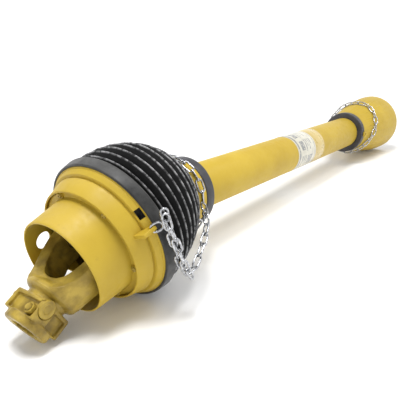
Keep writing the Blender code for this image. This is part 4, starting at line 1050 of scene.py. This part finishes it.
def smooth_path(points, spacing):
    """Points a spacing apart on a smooth curve through the given points."""
    spots = [Vector(p) for p in points]
    spots = [2 * spots[0] - spots[1]] + spots + [2 * spots[-1] - spots[-2]]
    path = []
    for a, b, c, d in zip(spots, spots[1:], spots[2:], spots[3:]):
        steps = max(1, ceil((c - b).length / spacing))
        for i in range(steps):
            t = i / steps
            path.append(0.5 * (2 * b + (c - a) * t + (2 * a - 5 * b + 4 * c - d) * t ** 2
                               + (3 * b - a - 3 * c + d) * t ** 3))
    return path + [spots[-2]]


def along_path(path, closed=False):
    """A (place, direction) pair at each link's middle, a link's pitch apart. A closed path's
    pitch is stretched a little, so that a whole number of links goes round."""
    places = []
    length = sum((b - a).length for a, b in zip(path, path[1:]))
    pitch = length / (2 * round(length / LINK_PITCH / 2)) if closed else LINK_PITCH
    travelled, wanted = 0.0, pitch / 2
    for a, b in zip(path, path[1:]):
        step = (b - a).length
        while wanted <= travelled + step:
            places.append((a.lerp(b, (wanted - travelled) / step), (b - a).normalized()))
            wanted += pitch
        travelled += step
    return places


def chain_mesh(name, places, first=0):
    """Links at the places, each turned an eighth one way or the other from the shaft's side."""
    shape = bmesh.new()
    for i, (middle, along) in enumerate(places):
        outward = Vector((0, middle.y, middle.z))
        outward = (outward - along * outward.dot(along)).normalized()
        side = along.cross(outward)
        tilt = 1 if (i + first) % 2 else -1
        add_link(shape, middle, along, (side + tilt * outward).normalized())
    return made(name, shape)


# %% Near chain and far chain
CHAIN_RADIUS, CHAIN_CLEAR = 0.0035, 0.0016
NEAR_CHAIN = [(-0.029, -0.115, -0.056), (-0.038, -0.115, -0.046), (-0.047, -0.115, -0.030),
              (-0.055, -0.1145, -0.011), (-0.061, -0.1125, 0.006), (-0.0665, -0.1095, 0.021),
              (-0.0645, -0.1030, 0.0335), (-0.0600, -0.1012, 0.020), (-0.056, -0.1040, 0.004),
              (-0.051, -0.1060, -0.012), (-0.045, -0.107, -0.030), (-0.036, -0.107, -0.046),
              (-0.026, -0.107, -0.054), (-0.012, -0.106, -0.050), (0.004, -0.102, -0.038),
              (0.022, -0.096, -0.025), (0.042, -0.084, -0.013), (0.058, -0.070, -0.007)]
NEAR_WRAP = (0.0715, 0.0030)
wrap_radius = NECK_RADIUS + CHAIN_RADIUS + CHAIN_CLEAR
wrap_start, wrap_climb = NEAR_WRAP
wrap = [around(wrap_start + wrap_climb * i / 20, wrap_radius, pi / 2 - 2 * pi * 0.93 * i / 20)
        for i in range(21)]
near_places = along_path(smooth_path([*NEAR_CHAIN, *wrap], 0.002))
split_plane = (split_centre, split_along)


def on_neck(place):
    return place[0].x > SLEEVE_END


hanging = [p for p in near_places if not on_neck(p)]
last_front = max(i for i, p in enumerate(hanging)
                 if (p[0] - split_plane[0]).dot(split_plane[1]) < 0)
front_links = hanging[:last_front + 1]
rear_links = hanging[last_front + 1:]
neck_links = near_places[len(hanging):]
front_chain = tie("near_chain_hanging", chain_mesh("near_chain_hanging", front_links), SHAFT,
                  None, "zinc_plate", ["chain_near"], 60)
rear_chain = tie("near_chain_run", chain_mesh("near_chain_run", rear_links, len(front_links)),
                 SHAFT, None, "zinc_plate", ["chain_near"], 60)
bend_with_joint(rear_chain, front_chain)
tie("near_chain_wrap", chain_mesh("near_chain_wrap", neck_links, len(hanging)), SHAFT,
    "guard_near", "zinc_plate", ["chain_near"], 60)

FAR_CHAIN_AT, FAR_CHAIN_SLANT = 0.808, 0.034
far_ring = []
for i in range(17):
    angle = 2 * pi * i / 16
    station = FAR_CHAIN_AT + FAR_CHAIN_SLANT * cos(angle)
    far_ring.append(around(station, bell_radius(station) + CHAIN_RADIUS + CHAIN_CLEAR, angle))
far_places = along_path(smooth_path(far_ring, 0.002), closed=True)
tie("far_chain_wrap", chain_mesh("far_chain_wrap", far_places), SHAFT, "guard_far",
    "zinc_plate", ["chain_far"], 60)
print(len(near_places), "links near,", len(far_places), "far")

# %% [markdown]
# ## Nodes kept from the frame
# A few pieces of the working model already have their final shape, such as the steel tubes deep
# inside. They stay, with smooth shading and the same finishes, and the far chain clip also gets a
# small rounded edge.

# %% Finish the nodes that stay
SLOT_FINISH = {recipe.slot: name for name, recipe in reversed(FINISHES.items())}
slots = {part["node"]: part["material_slot"] for part in frame["record"]["subparts"]}
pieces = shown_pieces()
kept = {name: obj for name, obj in frame["nodes"].items() if obj in pieces}
for name, obj in kept.items():
    obj.material_slots[0].material = FINISHES[SLOT_FINISH[slots[name]]].material
    obj.data.shade_smooth()
    obj.data.set_sharp_from_angle(angle=radians(35))
    if name == "chain_clip_far":
        edge = obj.modifiers.new("edge", "BEVEL")
        edge.width = 0.0004
        edge.segments = 2
print("kept", len(kept), "nodes:", ", ".join(sorted(kept)))

# %% Sizes and end
low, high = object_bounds()
print("visual box", [round(v, 4) for v in (*low, *high)])
